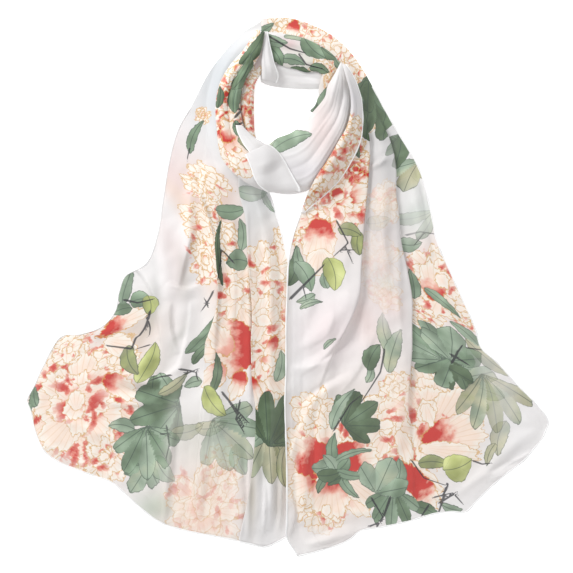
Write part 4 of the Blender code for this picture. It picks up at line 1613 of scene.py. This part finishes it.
RIGHT_CREASES = [
    (348, 292.5, 332, 330.5, 296, 352.5, 8, 4.5), (314, 246.5, 318, 296.5, 300, 326.5, 6, 3),
    (388, 156.5, 380, 226.5, 386, 296.5, 6, 3.5), (302, 436.5, 306, 486.5, 300, 526.5, 6, 4),
    (438, 266.5, 446, 326.5, 478, 382.5, 7, 3), (398, 356.5, 408, 416.5, 388, 476.5, 9, 3),
    (540, 426.5, 493, 454.5, 468, 496.5, 8, 3.5), (328, 286.5, 334, 376.5, 318, 436.5, 7, 3),
    # the hollows beside the fold that leaves the near pleat
    (350, 306, 340, 350, 298, 362, 4, -2), (352, 372, 322, 384, 304, 402, 3.6, -2.6),
    (300, 392, 296, 430, 300, 470, 3.4, -2), (316, 410, 310, 450, 316, 500, 3.6, -1.6),
    # the sheer middle panel
    (370, 163, 378, 160, 384, 153, 2.2, -2.2), (371, 168, 379, 165, 386, 158, 2.2, 1.8),
    (368, 190, 366, 250, 362, 300, 3, -1.6), (376, 176, 374, 240, 376, 300, 3, 1.2),
    (398, 240, 396, 290, 402, 352, 3.4, 1.4), (366, 300, 362, 340, 370, 386, 4, 1.2),
    (382, 300, 380, 350, 386, 400, 4, -1.4),
    # the outer panel and the hem
    (404, 150, 418, 200, 424, 260, 4, 1.4), (412, 160, 430, 220, 440, 290, 3.6, -1.4),
    (430, 320, 452, 372, 486, 402, 5, -1.8), (488, 474, 506, 464, 524, 461, 3, -2.4),
    (486, 482, 508, 472, 530, 466, 3, 1.8), (500, 420, 516, 430, 540, 428, 5, -1.2),
    (452, 500, 474, 478, 492, 470, 4, 1.4), (420, 470, 440, 500, 470, 506, 4, -1.2),
    (340, 500, 360, 512, 396, 510, 4, 1.4), (352, 520, 330, 530, 304, 540, 3, -1.4),
    # folds that lean
    (362, 236, 368, 336, 298, 374, 3, 9, 5), (290, 368, 326, 372, 352, 340, 3, 9, 3.4),
    (330, 300, 340, 340, 300, 346, 3, 9, 2), (296, 420, 318, 384, 356, 372, 3, 9, 3.2),
    (288, 470, 300, 416, 320, 396, 3, 8, 2.6), (374, 330, 366, 366, 336, 396, 3, 10, 2.4),
    (326, 420, 318, 456, 322, 500, 3, 7, 2), (371, 166, 379, 164, 388, 155, 1.6, 5, 3),
    (366, 176, 368, 230, 364, 290, 2.6, 8, 2.4), (392, 176, 396, 240, 402, 300, 3, 8, 1.8),
    (386, 300, 384, 350, 392, 410, 3, 9, 1.8), (408, 152, 424, 206, 432, 262, 3, 8, 2),
    (428, 306, 456, 350, 492, 384, 3, 9, 2.6), (420, 350, 450, 400, 500, 430, 3, 9, 1.8),
    (486, 476, 508, 466, 534, 450, 2, 6, 3), (400, 470, 430, 500, 470, 504, 3, 8, 2),
    (334, 508, 360, 516, 400, 512, 3, 8, 1.8), (296, 524, 310, 512, 330, 516, 2.4, 7, 1.8),
    # the turned corner and the layer under the hem
    (290, 492, 300, 513, 288, 538, 1.4, 7, 3.4), (304, 546, 328, 541, 356, 532, 6, 1.4, 3),
]
RIDGES = {
    # share of the width, half width as a share, height in mm, and the shares of the
    # length where the ridge starts, is highest and ends
    "front_drape": [
        (0.12, 0.055, 1.2, 0.42, 0.72, 0.99), (0.3, 0.085, 1.5, 0.5, 0.76, 0.99),
        (0.52, 0.09, 1.6, 0.47, 0.78, 0.99), (0.78, 0.085, 1.3, 0.52, 0.82, 0.99),
        (0.3, 0.13, 2.4, 0, 0.2, 0.42), (0.82, 0.09, 2.6, 0, 0.22, 0.4),
        (0.52, 0.035, -2.2, 0.02, 0.18, 0.46), (0.66, 0.04, 1.6, 0.02, 0.24, 0.44),
        (0.16, 0.035, -1.2, 0.04, 0.22, 0.46), (0.21, 0.03, 0.9, 0.36, 0.66, 0.98),
        (0.41, 0.028, -1, 0.4, 0.8, 0.99), (0.63, 0.03, 1, 0.3, 0.7, 0.98),
        (0.9, 0.026, 0.8, 0.46, 0.78, 0.98),
    ],
    "back_band": [
        (0.3, 0.08, 1.4, 0.05, 0.45, 0.95), (0.5, 0.05, -1.2, 0.1, 0.55, 0.98),
        (0.7, 0.07, 1, 0.05, 0.6, 0.95),
    ],
    "neck_lining": [
        (0.3, 0.08, 1, 0.02, 0.3, 0.8), (0.55, 0.06, -1, 0.1, 0.6, 0.98),
        (0.78, 0.06, 0.8, 0.2, 0.6, 0.98),
    ],
    "inner_left_fold": [(0.35, 0.1, 0.9, 0.02, 0.4, 0.9), (0.65, 0.08, -0.7, 0.2, 0.6, 0.98)],
    "inner_right_fold": [(0.5, 0.12, 0.6, 0.05, 0.5, 0.95)],
    "dog_ear": [(0.3, 0.07, -1.1, 0, 0.45, 0.9), (0.62, 0.12, 0.9, 0.05, 0.6, 0.98)],
    "shoulder_strip": [
        (0.22, 0.1, 1.2, 0.02, 0.3, 0.9), (0.45, 0.05, -1.3, 0.02, 0.4, 0.95),
        (0.68, 0.08, 0.9, 0.1, 0.45, 0.9),
    ],
    "hook": [(0.5, 0.1, 0.7, 0.05, 0.5, 0.95)],
    "tongue": [(0.3, 0.2, 0.5, 0.1, 0.5, 0.9)],
}

# ------ the print's tables

# A panel's name stands above its rows. The columns are named in the first table of a kind.
IN, MID, OUT, ALL = Panel.INNER, Panel.MIDDLE, Panel.OUTER, Panel.ANY

LEFT_FLOWERS = [
    # column, row, radius, turn, squash, red
    OUT,
    (84, 400, 56, 205, 0.96, 1.15), (70, 352, 22, 120, 0.8, 0.7), (110, 362, 26, 60, 0.8, 0.6),
    (104, 452, 26, 290, 0.8, 0.9), (204, 226, 24, 90, 0.6, 0.5), (206, 262, 18, 90, 0.6, 0.6),
    (209, 192, 18, 100, 0.6, 0.4), (203, 116, 8, 100, 0.8, 0.9),
    MID,
    (212, 182, 20, 80, 0.7, 0.3), (210, 212, 17, 100, 0.8, 1), (226, 240, 18, 90, 0.8, 0.2),
    (234, 296, 36, 80, 0.9, 0.45), (206, 502, 42, 250, 0.9, 0.6), (222, 468, 22, 240, 0.8, 0.6),
    IN,
    (284, 240, 13, 80, 0.9, 0.1), (272, 280, 36, 70, 0.9, 0.6), (262, 326, 42, 90, 0.9, 0.4),
    (268, 366, 38, 100, 0.9, 0.6), (258, 402, 18, 100, 0.8, 0.2),
]
LEFT_PETALS = [
    # layer, column, row, turn, half length, half width, red
    MID,
    (6, 229, 349, 184, 27, 28, 1.06), (7, 238, 384, 248, 15, 8, 1.1),
    (7, 221, 340, 130, 17, 11, 0.5), (7, 214, 376, 230, 16, 11, 0.5),
    OUT,
    (5, 126, 320, 30, 22, 9, 1), (6, 120, 346, 340, 17, 10, 0), (7, 120, 386, 330, 20, 10, 0.9),
    IN,
    (6, 271, 350, 250, 16, 6, 1), (7, 254, 392, 280, 16, 7, 0.9),
]
LEFT_LEAVES = [
    # column, row, length, width, turn, tone, layer
    OUT,
    (127, 288, 34, 13, 72, 0.42, 1), (141, 300, 22, 17, 10, 0.32, 2),
    (150, 305, 22, 16, -80, 0.78, 3), (122, 310, 20, 13, 200, 0.3, 1),
    (131, 361, 36, 14, -55, 0.7, 3), (148, 362, 42, 19, 82, 0.92, 2),
    (156, 412, 50, 30, 196, 0.26, 1), (147, 452, 46, 25, -86, 0.34, 3),
    (122, 426, 26, 12, 172, 0.42, 2), (166, 394, 32, 22, 30, 0.14, 1),
    (140, 478, 26, 18, -120, 0.4, 1), (164, 470, 30, 16, -50, 0.44, 2),
    (174, 384, 34, 10, 40, 0.62, 3), (35, 396, 16, 8, 100, 0.34, 1),
    (195, 136, 36, 9, 66, 0.26, 1),
    MID,
    (231, 211, 30, 16, 4, 0.3, 1), (242, 234, 32, 11, 86, 0.4, 2),
    (237, 261, 22, 17, 184, 0.32, 3), (221, 250, 62, 5, 87, 0.14, 1),
    (216, 372, 40, 9, 84, 0.2, 1),
    OUT,
    (208, 330, 46, 13, 68, 0.3, 1), (203, 352, 28, 10, 60, 0.22, 2),
    (193, 383, 18, 10, 200, 0.45, 1),
    MID,
    (214, 402, 36, 18, -52, 0.84, 3), (232, 438, 52, 26, -40, 0.46, 2),
    (212, 426, 34, 13, 12, 0.6, 1), (240, 460, 30, 17, -70, 0.34, 1),
    OUT,
    (188, 430, 34, 13, 14, 0.6, 2),
    IN,
    (253, 193, 32, 14, -4, 0.44, 1), (268, 202, 26, 6, -60, 0.28, 2),
    (279, 420, 56, 24, 66, 0.06, 3), (258, 436, 26, 12, 50, 0.36, 2),
    (270, 456, 50, 24, -86, 0.6, 1), (284, 466, 44, 12, -92, 0.62, 2),
    (280, 366, 32, 12, 80, 0.42, 2), (252, 428, 18, 9, 80, 0.78, 3),
    OUT,
    (266, 32, 30, 10, 38, 0.32, 1),
]
LEFT_TWIGS = [
    # width, places
    OUT,
    (1.6, (125, 300, 138, 303, 153, 299)), (1.8, (150, 312, 149, 345, 124, 342)),
    (1.2, (147, 318, 157, 332)), (1, (149, 345, 138, 349)), (1.4, (213, 292, 207, 306, 204, 312)),
    (1.2, (208, 306, 204, 298)), (1.4, (181, 369, 197, 372, 200, 379)), (1, (186, 374, 196, 369)),
    (1.2, (170, 375, 160, 377, 152, 380)), (1.3, (167, 427, 170, 443, 167, 455)),
    (1, (162, 434, 170, 433)),
    MID,
    (1.6, (223, 393, 236, 408, 248, 420)), (1.4, (240, 402, 236, 418, 244, 430)),
    (1.2, (229, 401, 244, 424)), (1, (233, 262, 222, 252, 218, 278)),
    OUT,
    (1, (190, 148, 186, 160)),
]
LEFT_TINTS_AND_SHADE = [
    # column, row, half width, half height, colour, amount
    OUT,
    # Painted shade: blue-grey over the upper tail near the neck, and grey inside the cup fold at
    # column 138.
    (226, 84, 34, 60, "#D9E0E4", 0.9), (138, 330, 16, 36, "#D6D8D6", 0.7),
    # Painted shade: a grey line along the cup fold's edge at column 152; the pink patch is the
    # cloth's own.
    (152, 320, 5, 36, "#C6CCC8", 0.8), (176, 180, 24, 60, "#FAE6E5", 0.7),
    # Painted shade: the grey hollow of a fold at column 184 and a grey fold line at column 175.
    (184, 276, 7, 20, "#C4C8C0", 0.7), (175, 342, 5, 22, "#D2D4D0", 0.6),
    (174, 250, 14, 40, "#F8E8E6", 0.5), (84, 400, 60, 66, "#FBE6D6", 0.85),
    (128, 350, 26, 30, "#FBE6D6", 0.6), (158, 506, 20, 14, "#C2D8C6", 0.8),
    (204, 230, 12, 60, "#FBE3D0", 0.9),
    MID,
    (218, 200, 22, 40, "#FADFD2", 0.8), (230, 290, 22, 60, "#FBE2CE", 0.9),
    (206, 500, 46, 46, "#FAE8DC", 0.85), (206, 440, 40, 26, "#E6E6DC", 0.6),
    IN,
    (262, 195, 24, 50, "#E6EBEC", 0.9), (268, 310, 28, 64, "#FBE4D2", 0.95),
    (272, 386, 14, 30, "#DCE3DA", 0.9), (268, 440, 26, 26, "#B9C4A8", 0.6),
    # Painted shade: narrow grey-brown bands in the folds at the inner hem, at columns 252 and 279.
    (252, 492, 5, 34, "#D5CFC2", 0.8), (279, 496, 5, 30, "#DDD6CC", 0.7),
]
LEFT_VEILS = [
    # column, row, half width, half height, amount
    MID,
    (208, 505, 56, 60, 0.52),
    OUT,
    (178, 440, 14, 40, 0.35),
    MID,
    (208, 434, 22, 22, 0.25),
    IN,
    (262, 180, 24, 30, 0.6),
]
RIGHT_FLOWERS = [
    IN,
    (336, 198, 36, 80, 0.9, 1.35), (354, 172, 20, 60, 0.9, 1.9), (314, 216, 24, 120, 0.8, 1.2),
    (304, 234, 16, 130, 0.8, 0.8), (354, 150, 14, 90, 0.8, 1.6),
    MID,
    (330, 466, 50, 200, 0.9, 0.9), (318, 416, 26, 150, 0.9, 0.1), (328, 508, 24, 240, 0.7, 0.6),
    IN,
    (304, 500, 20, 230, 0.8, 0.1),
    OUT,
    (424, 418, 50, 60, 0.9, 0.7),
    MID,
    (388, 428, 36, 150, 0.95, 0.7), (396, 392, 20, 90, 0.9, 0.4),
    OUT,
    (440, 284, 36, 60, 0.9, 0.9), (424, 316, 18, 200, 0.9, 0.4), (462, 312, 20, 300, 0.9, 0.5),
    MID,
    (386, 204, 22, 90, 0.9, 0.4), (376, 262, 26, 80, 0.9, 0.5), (384, 294, 18, 80, 0.9, 0.5),
    ALL,
    (362, 76, 22, 120, 0.8, 0.8), (373, 118, 12, 100, 0.8, 0.1), (280, 27, 15, 90, 0.6, 0.1),
    (312, 36, 24, 60, 0.7, 0.8), (336, 52, 22, 60, 0.7, 0.8), (350, 72, 19, 60, 0.7, 0.7),
]
RIGHT_PETALS = [
    IN,
    (6, 319, 240, 265, 21, 17, 1), (7, 320, 262, 270, 13, 14, 0), (4, 308, 222, 200, 16, 10, 1),
    MID,
    (6, 314, 458, 150, 28, 19, 1.5), (7, 352, 458, 10, 25, 17, 1.5),
    (5, 312, 480, 200, 24, 14, 1.3), (4, 352, 496, 310, 24, 13, 1.2),
    (6, 330, 496, 265, 22, 20, 0.9), (7, 362, 486, 330, 22, 16, 0.1),
    OUT,
    (4, 430, 414, 80, 28, 13, 0.3), (5, 448, 416, 46, 32, 20, 0.4),
    (6, 454, 436, 14, 33, 20, 1.05), (7, 450, 452, 352, 30, 10, 0.1),
    (4, 416, 402, 120, 18, 12, 0.9),
    MID,
    (7, 404, 446, 290, 17, 8, 0.1),
    OUT,
    (5, 418, 485, 312, 30, 12, 1.5), (4, 420, 478, 320, 26, 12, 0), (6, 432, 282, 80, 20, 12, 1),
    ALL,
    (6, 293, 29, 250, 10, 7, 1.2),
]
RIGHT_LEAVES = [
    OUT,
    (384, 108, 66, 34, -62, 0.1, 1), (378, 92, 40, 20, -62, 0.14, 2),
    (400, 150, 44, 30, -62, 0.14, 3), (410, 176, 32, 24, -95, 0.52, 2),
    (414, 216, 42, 12, 12, 0.48, 1), (410, 244, 24, 14, 0, 0.42, 2),
    (426, 226, 30, 12, 60, 0.46, 3), (424, 340, 42, 24, 112, 0.36, 2),
    (452, 344, 38, 22, 58, 0.38, 3), (436, 362, 44, 28, 196, 0.28, 1),
    (466, 334, 30, 12, 112, 0.36, 1), (441, 302, 34, 10, -62, 0.3, 3),
    (455, 372, 32, 20, 320, 0.04, 1), (480, 388, 44, 28, -24, 0.44, 0),
    (452, 388, 36, 24, 250, 0.1, 0), (412, 284, 30, 12, 78, 0.36, 3),
    (492, 360, 50, 16, -50, 0.6, 1), (493, 402, 58, 20, -84, 0.6, 2),
    (500, 438, 36, 17, -104, 0.58, 1), (490, 454, 24, 9, -112, 0.6, 3),
    (458, 466, 30, 27, 20, 0.9, 3), (434, 463, 32, 13, -4, 0.74, 2),
    MID,
    (387, 336, 48, 14, 80, 0.52, 1), (395, 350, 48, 15, 62, 0.5, 2),
    (373, 356, 30, 16, 58, 0.18, 3), (370, 374, 18, 8, 70, 0.44, 1),
    (341, 408, 46, 11, 60, 0.42, 3), (360, 414, 40, 26, 34, 0.08, 2),
    (326, 343, 16, 5, 40, 0.44, 1), (333, 448, 30, 11, 88, 0.3, 1),
    (352, 455, 44, 7, 18, 0.36, 2), (352, 474, 32, 9, -8, 0.34, 3),
    (348, 486, 32, 9, -52, 0.34, 1), (330, 474, 26, 13, 10, 0.14, 3),
    (338, 480, 24, 9, 200, 0.1, 1), (322, 484, 22, 8, 240, 0.2, 2),
    (344, 464, 18, 12, 50, 0.3, 1), (322, 467, 22, 16, 190, 0.42, 1),
    (330, 462, 20, 11, 130, 0.46, 2), (384, 476, 38, 22, 66, 0.42, 3),
    (378, 484, 26, 16, 130, 0.44, 1),
    OUT,
    (392, 508, 40, 18, -94, 0.3, 2), (398, 474, 32, 14, 80, 0.38, 1),
    (426, 511, 36, 12, -24, 0.2, 1), (452, 508, 22, 8, -14, 0.46, 1),
    IN,
    (294, 266, 42, 14, 78, 0.16, 1), (305, 276, 34, 17, -62, 0.34, 3),
    (299, 258, 24, 9, 104, 0.36, 2), (333, 274, 34, 21, -78, 0.86, 3),
    (325, 280, 18, 9, 100, 0.42, 2), (306, 299, 20, 9, 200, 0.44, 1),
    (311, 304, 24, 6, 16, 0.44, 2), (350, 231, 24, 13, -18, 0.68, 3),
    (358, 244, 24, 12, -88, 0.7, 2), (356, 146, 26, 9, -80, 0.14, 3),
    ALL,
    (264, 30, 24, 9, 30, 0.32, 1), (356, 92, 30, 10, -60, 0.36, 3),
    MID,
    (378, 222, 24, 14, 10, 0.6, 3),
]
RIGHT_TWIGS = [
    OUT,
    (1.2, (407, 235, 420, 232, 434, 234)), (1, (424, 233, 415, 244)),
    (1.6, (452, 362, 462, 352, 470, 346)), (1.8, (452, 355, 464, 364)),
    (1, (468, 348, 482, 350, 492, 362)), (1, (412, 461, 424, 478, 445, 485)),
    (2, (447, 485, 443, 498, 438, 514)), (1.4, (440, 502, 454, 494, 462, 503)),
    (1, (434, 497, 456, 492)), (1.2, (474, 461, 482, 464, 490, 463)), (1.4, (428, 506, 420, 518)),
    MID,
    (1.4, (384, 350, 378, 372, 358, 402)), (1.2, (334, 430, 350, 404, 360, 396)),
    (1.8, (390, 498, 384, 515, 376, 528)), (1.4, (372, 499, 383, 517)),
    (1.2, (370, 526, 382, 521)),
    IN,
    (2, (291, 298, 308, 281, 324, 265)), (1.2, (337, 222, 348, 243, 334, 256)),
    (1, (341, 250, 353, 250)), (1, (345, 246, 352, 262)), (1, (303, 287, 306, 298)),
]
RIGHT_TINTS_AND_SHADE = [
    IN,
    (332, 196, 40, 50, "#FAE2D2", 0.9), (305, 240, 14, 24, "#FBE3D2", 0.8),
    (330, 330, 34, 40, "#FBEFF0", 0.7), (300, 420, 14, 50, "#EDF0F2", 0.7),
    MID,
    # Painted shade: the grey over the sheer middle panel near the neck, at column 378; the pink
    # patch is the cloth's own.
    (378, 190, 22, 84, "#DEDFDF", 0.9), (380, 262, 20, 60, "#F6E6E0", 0.6),
    (374, 270, 12, 30, "#E3E6EA", 0.5), (366, 320, 20, 40, "#FBE6E2", 0.6),
    (388, 300, 12, 16, "#FAE0DC", 0.6), (386, 284, 8, 7, "#DDE8E0", 0.6),
    (332, 462, 46, 60, "#FBE6D6", 0.8),
    OUT,
    (420, 420, 60, 52, "#FBEADC", 0.9), (438, 286, 32, 44, "#FBE0D2", 0.9),
    (418, 190, 14, 14, "#F4F6F4", 0.6), (420, 214, 18, 16, "#EAF2EC", 0.8),
    (518, 424, 30, 40, "#FFFFFF", 1),
    ALL,
    (300, 30, 60, 20, "#F9E4D8", 0.8), (360, 80, 16, 40, "#F7E4D6", 0.7),
]
RIGHT_VEILS = [
    OUT,
    (500, 396, 18, 52, 0.42),
    MID,
    (380, 215, 26, 70, 0.75), (378, 284, 28, 50, 0.82),
    OUT,
    (420, 212, 24, 28, 0.68),
    MID,
    (400, 390, 16, 20, 0.3),
    IN,
    (291, 515, 8, 22, 1),
    MID,
    (318, 548, 40, 19, 1),
]

LEFT_PRINT = Motifs(
    LEFT_FLOWERS, LEFT_PETALS, LEFT_LEAVES, LEFT_TWIGS, LEFT_TINTS_AND_SHADE, LEFT_VEILS, seed=3
)
RIGHT_PRINT = Motifs(
    RIGHT_FLOWERS, RIGHT_PETALS, RIGHT_LEAVES, RIGHT_TWIGS, RIGHT_TINTS_AND_SHADE, RIGHT_VEILS, seed=29
)

# The prints of the plain stretches, which have no panels.
DRAPE_PRINT = Motifs(
    flowers=[
        (250, 50, 17, 60, 0.8, 0.9), (236, 72, 19, 60, 0.8, 0.8), (227, 98, 21, 80, 0.8, 1.7),
        (226, 126, 22, 100, 0.8, 1.6), (238, 154, 25, 120, 0.8, 0.7),
    ],
    petals=[(6, 240, 148, 330, 18, 11, 0.4), (7, 230, 133, 60, 12, 8, 1)],
    leaves=[
        (254, 50, 42, 12, 54, 0.14, 2), (244, 74, 40, 13, 62, 0.2, 3),
        (237, 96, 36, 12, 76, 0.26, 2), (240, 132, 22, 8, -60, 0.3, 2),
        (249, 148, 28, 10, -48, 0.62, 3), (220, 98, 22, 7, 84, 0.1, 1),
        (292, 141, 42, 17, 22, 0.36, 3), (275, 146, 16, 9, 10, 0.48, 2),
    ],
    twigs=[
        (1.8, (236, 118, 241, 112, 247, 112)), (1.4, (237, 127, 242, 124, 248, 120)),
        (1.8, (238, 126, 243, 130, 247, 134)), (1.2, (240, 110, 246, 108)),
    ],
    tints_and_shade=[
        (230, 110, 18, 60, "#FAE0CE", 0.9), (243, 120, 8, 12, "#F3F5F7", 0.9),
        (322, 130, 16, 34, "#F8E2DE", 0.6), (300, 172, 40, 12, "#EFEDF1", 0.6),
    ],
    seed=5,
)
BACK_PRINT = Motifs(
    flowers=[(320, 70, 13, 60, 0.8, 0.2), (332, 74, 12, 80, 0.8, 1)],
    leaves=[
        (274, 42, 28, 12, -14, 0.36, 1), (298, 39, 28, 8, -12, 0.46, 2),
        (313, 49, 32, 16, -46, 0.3, 3), (331, 55, 24, 11, -30, 0.22, 1),
        (277, 58, 24, 11, -60, 0.26, 3), (293, 62, 24, 10, -14, 0.4, 2),
        (300, 73, 28, 7, -8, 0.14, 1), (320, 71, 22, 9, -20, 0.24, 3),
        (340, 66, 16, 8, -44, 0.34, 2),
    ],
    twigs=[(1.4, (266, 36, 290, 50, 304, 54)), (1.2, (299, 56, 306, 66, 322, 70))],
    tints_and_shade=[(290, 45, 9, 6, "#F2D6DA", 0.9), (318, 62, 60, 20, "#E8E4D4", 0.6)],
)
STRIP_PRINT = Motifs(
    flowers=[
        (349, 131, 16, 90, 0.8, 1.2), (340, 148, 23, 90, 0.8, 1.3), (328, 172, 23, 90, 0.8, 1.3),
        (316, 196, 18, 90, 0.8, 1.2),
    ],
    tints_and_shade=[(336, 160, 30, 44, "#FAE0D0", 0.95), (352, 100, 14, 22, "#F3F2F5", 0.95)],
    seed=17,
)
INNER_LEFT_PRINT = Motifs(
    flowers=[(251, 84, 16, 90, 0.8, 1.2), (250, 116, 20, 90, 0.8, 1.8)],
    tints_and_shade=[(250, 100, 14, 60, "#EDC3B8", 0.9)],
)
INNER_RIGHT_PRINT = Motifs(
    flowers=[(330, 82, 8, 90, 0.8, 1.2)],
    leaves=[(321, 103, 30, 13, 62, 0.26, 1), (315, 111, 16, 5, 70, 0.04, 2)],
    tints_and_shade=[(334, 92, 14, 24, "#EBDCC6", 0.8)],
)


# ------ the scarf


@dataclass
class Scarf:
    """The whole scarf, laid stretch by stretch in the order of the winding."""

    pile: Pile

    def _stretch(
        self,
        name: str,
        rows: list,
        columns: int,
        spacing: float,
        motifs: "Motifs | None" = None,
        hemmed: tuple = (),
        lowest: float = 0.0,
    ) -> None:
        """Lays one plain stretch, with its hems and its print.

        Args:
            name: its node.
            rows: its table.
            columns: the columns of its grid.
            spacing: the spacing of its sections in millimetres.
            motifs: what is printed on it, if anything is.
            hemmed: which of its columns have a hem.
            lowest: the lowest height of its cloth in millimetres.
        """
        stretch = Stretch(name, rows, RIDGES[name], spacing * MM, columns, lowest * MM)
        sheet = stretch.sheet(self.pile)
        hems = [
            Hem(f"{name}_hem_{k}", name, sheet.points[:, edge]).build()
            for k, edge in enumerate(hemmed)
        ]
        finish = Finish.PRINTED if motifs else Finish.PLAIN
        if motifs:
            motifs.paint(sheet)
        sheet.piece(f"{name}_cloth", slice(None), finish, hems)
        self.pile.lay(sheet.points)

    def _tail(self, tail: Tail, motifs: Motifs) -> None:
        """Lays one tail: three panels, and its rolled hems below the neck."""
        sheet = tail.sheet(self.pile)
        motifs.paint(sheet)
        one, two = tail.splits
        grid = sheet.points
        ends = grid[tail.hemmed_from :]
        inner = Hem(f"{tail.node}_inner_hem", tail.node, ends[:, 0]).build()
        outer = Hem(f"{tail.node}_outer_hem", tail.node, ends[:, -1]).build()
        lower = Hem(f"{tail.node}_lower_hem", tail.node, grid[-1]).build()
        sheet.piece(f"{tail.node}_inner", slice(0, one + 1), Finish.PRINTED, [inner])
        sheet.piece(f"{tail.node}_middle", slice(one, two + 1), Finish.PRINTED, [lower])
        sheet.piece(f"{tail.node}_outer", slice(two, None), Finish.PRINTED, [outer])
        self.pile.lay(grid)

    def build(self) -> None:
        """Lays the scarf from the bottom of the heap to its top."""
        self.pile.lay(Roll(HIDDEN_ROLL).build())
        self._stretch("neck_lining", LINING, 30, 1.5)
        spacing, runs = ((0, 6, 8), (3.0, 2.2, 1.6)), (29, 37, 104)
        left = Tail("left_tail", LEFT_TAIL, LEFT_HEM, LEFT_CREASES, spacing, runs, 40)
        self._tail(left, LEFT_PRINT)
        spacing, runs = ((0, 9, 12), (2.6, 2.2, 1.6)), (47, 62, 84)
        right = Tail("right_tail", RIGHT_TAIL, RIGHT_HEM, RIGHT_CREASES, spacing, runs, 60)
        self._tail(right, RIGHT_PRINT)
        self._stretch("back_band", BACK_BAND, 40, 1.5, BACK_PRINT)
        self._stretch("inner_left_fold", INNER_LEFT, 22, 1.2, INNER_LEFT_PRINT)
        self._stretch("inner_right_fold", INNER_RIGHT, 18, 1.2, INNER_RIGHT_PRINT, lowest=4.5)
        self._stretch("dog_ear", DOG_EAR, 26, 1.2, hemmed=(-1,))
        self._stretch("front_drape", DRAPE, 72, 1.4, DRAPE_PRINT)
        self._stretch("shoulder_strip", SHOULDER_STRIP, 30, 1.4, STRIP_PRINT, (-1,))
        self._stretch("hook", HOOK, 20, 1.2, hemmed=(0,))
        self._stretch("tongue", TONGUE, 36, 1.3, hemmed=(0, -1))


# ------ the studio


@dataclass(frozen=True)
class Studio:
    """A light table under a big soft light from the top, seen from above."""

    table_half: float = 1.4
    sky: float = 0.64
    key: float = 25.0
    key_place: tuple = (-1.05, 1.25, 1.2)
    key_size: float = 0.8
    height: float = 2.5
    sensor: float = 36.0

    def build(self) -> None:
        """Makes the table, the light, the sky and the camera."""
        self._table()
        self._light()
        self._camera()

    def _table(self) -> None:
        """The table top, which isn't part of the scarf."""
        h = self.table_half
        mesh = bpy.data.meshes.new("table")
        mesh.from_pydata([(-h, -h, 0), (h, -h, 0), (h, h, 0), (-h, h, 0)], [], [(0, 1, 2, 3)])
        mesh.materials.append(TableTop().material())
        link("table", mesh)

    def _light(self) -> None:
        """One large area light and an even sky."""
        lamp = bpy.data.lights.new("key", "AREA")
        lamp.shape = "DISK"
        lamp.size = self.key_size
        lamp.energy = self.key
        light = link("key", lamp)
        light.location = self.key_place
        towards = -np.array(self.key_place)
        flat = math.hypot(towards[0], towards[1])
        light.rotation_euler = (
            math.atan2(flat, -towards[2]),
            0.0,
            math.atan2(towards[1], towards[0]) - math.pi / 2,
        )
        world = bpy.data.worlds.new("studio")
        world.use_nodes = True
        back = world.node_tree.nodes["Background"]
        back.inputs["Color"].default_value = (1.0, 1.0, 1.0, 1.0)
        back.inputs["Strength"].default_value = self.sky
        bpy.context.scene.world = world

    def _camera(self) -> None:
        """A long lens straight above the paper's middle, with the neck at the top."""
        data = bpy.data.cameras.new("above")
        data.sensor_width = self.sensor
        wide = PAPER_SQUARES * SQUARE
        data.lens = self.sensor * self.height / wide
        data.clip_end = 4 * self.height
        camera = link("above", data)
        middle = from_paper([PAPER_SQUARES / 2], [PAPER_SQUARES / 2])[0]
        camera.location = (float(middle[0]), float(middle[1]), self.height)
        bpy.context.scene.camera = camera


def main() -> None:
    """Builds the scarf and its studio."""
    logging.basicConfig(level=logging.INFO, format="%(name)s: %(message)s")
    Scarf(Pile()).build()
    Studio().build()
    view = bpy.context.scene.view_settings
    view.view_transform = "Standard"
    view.look = "None"


if __name__ == "__main__":
    main()
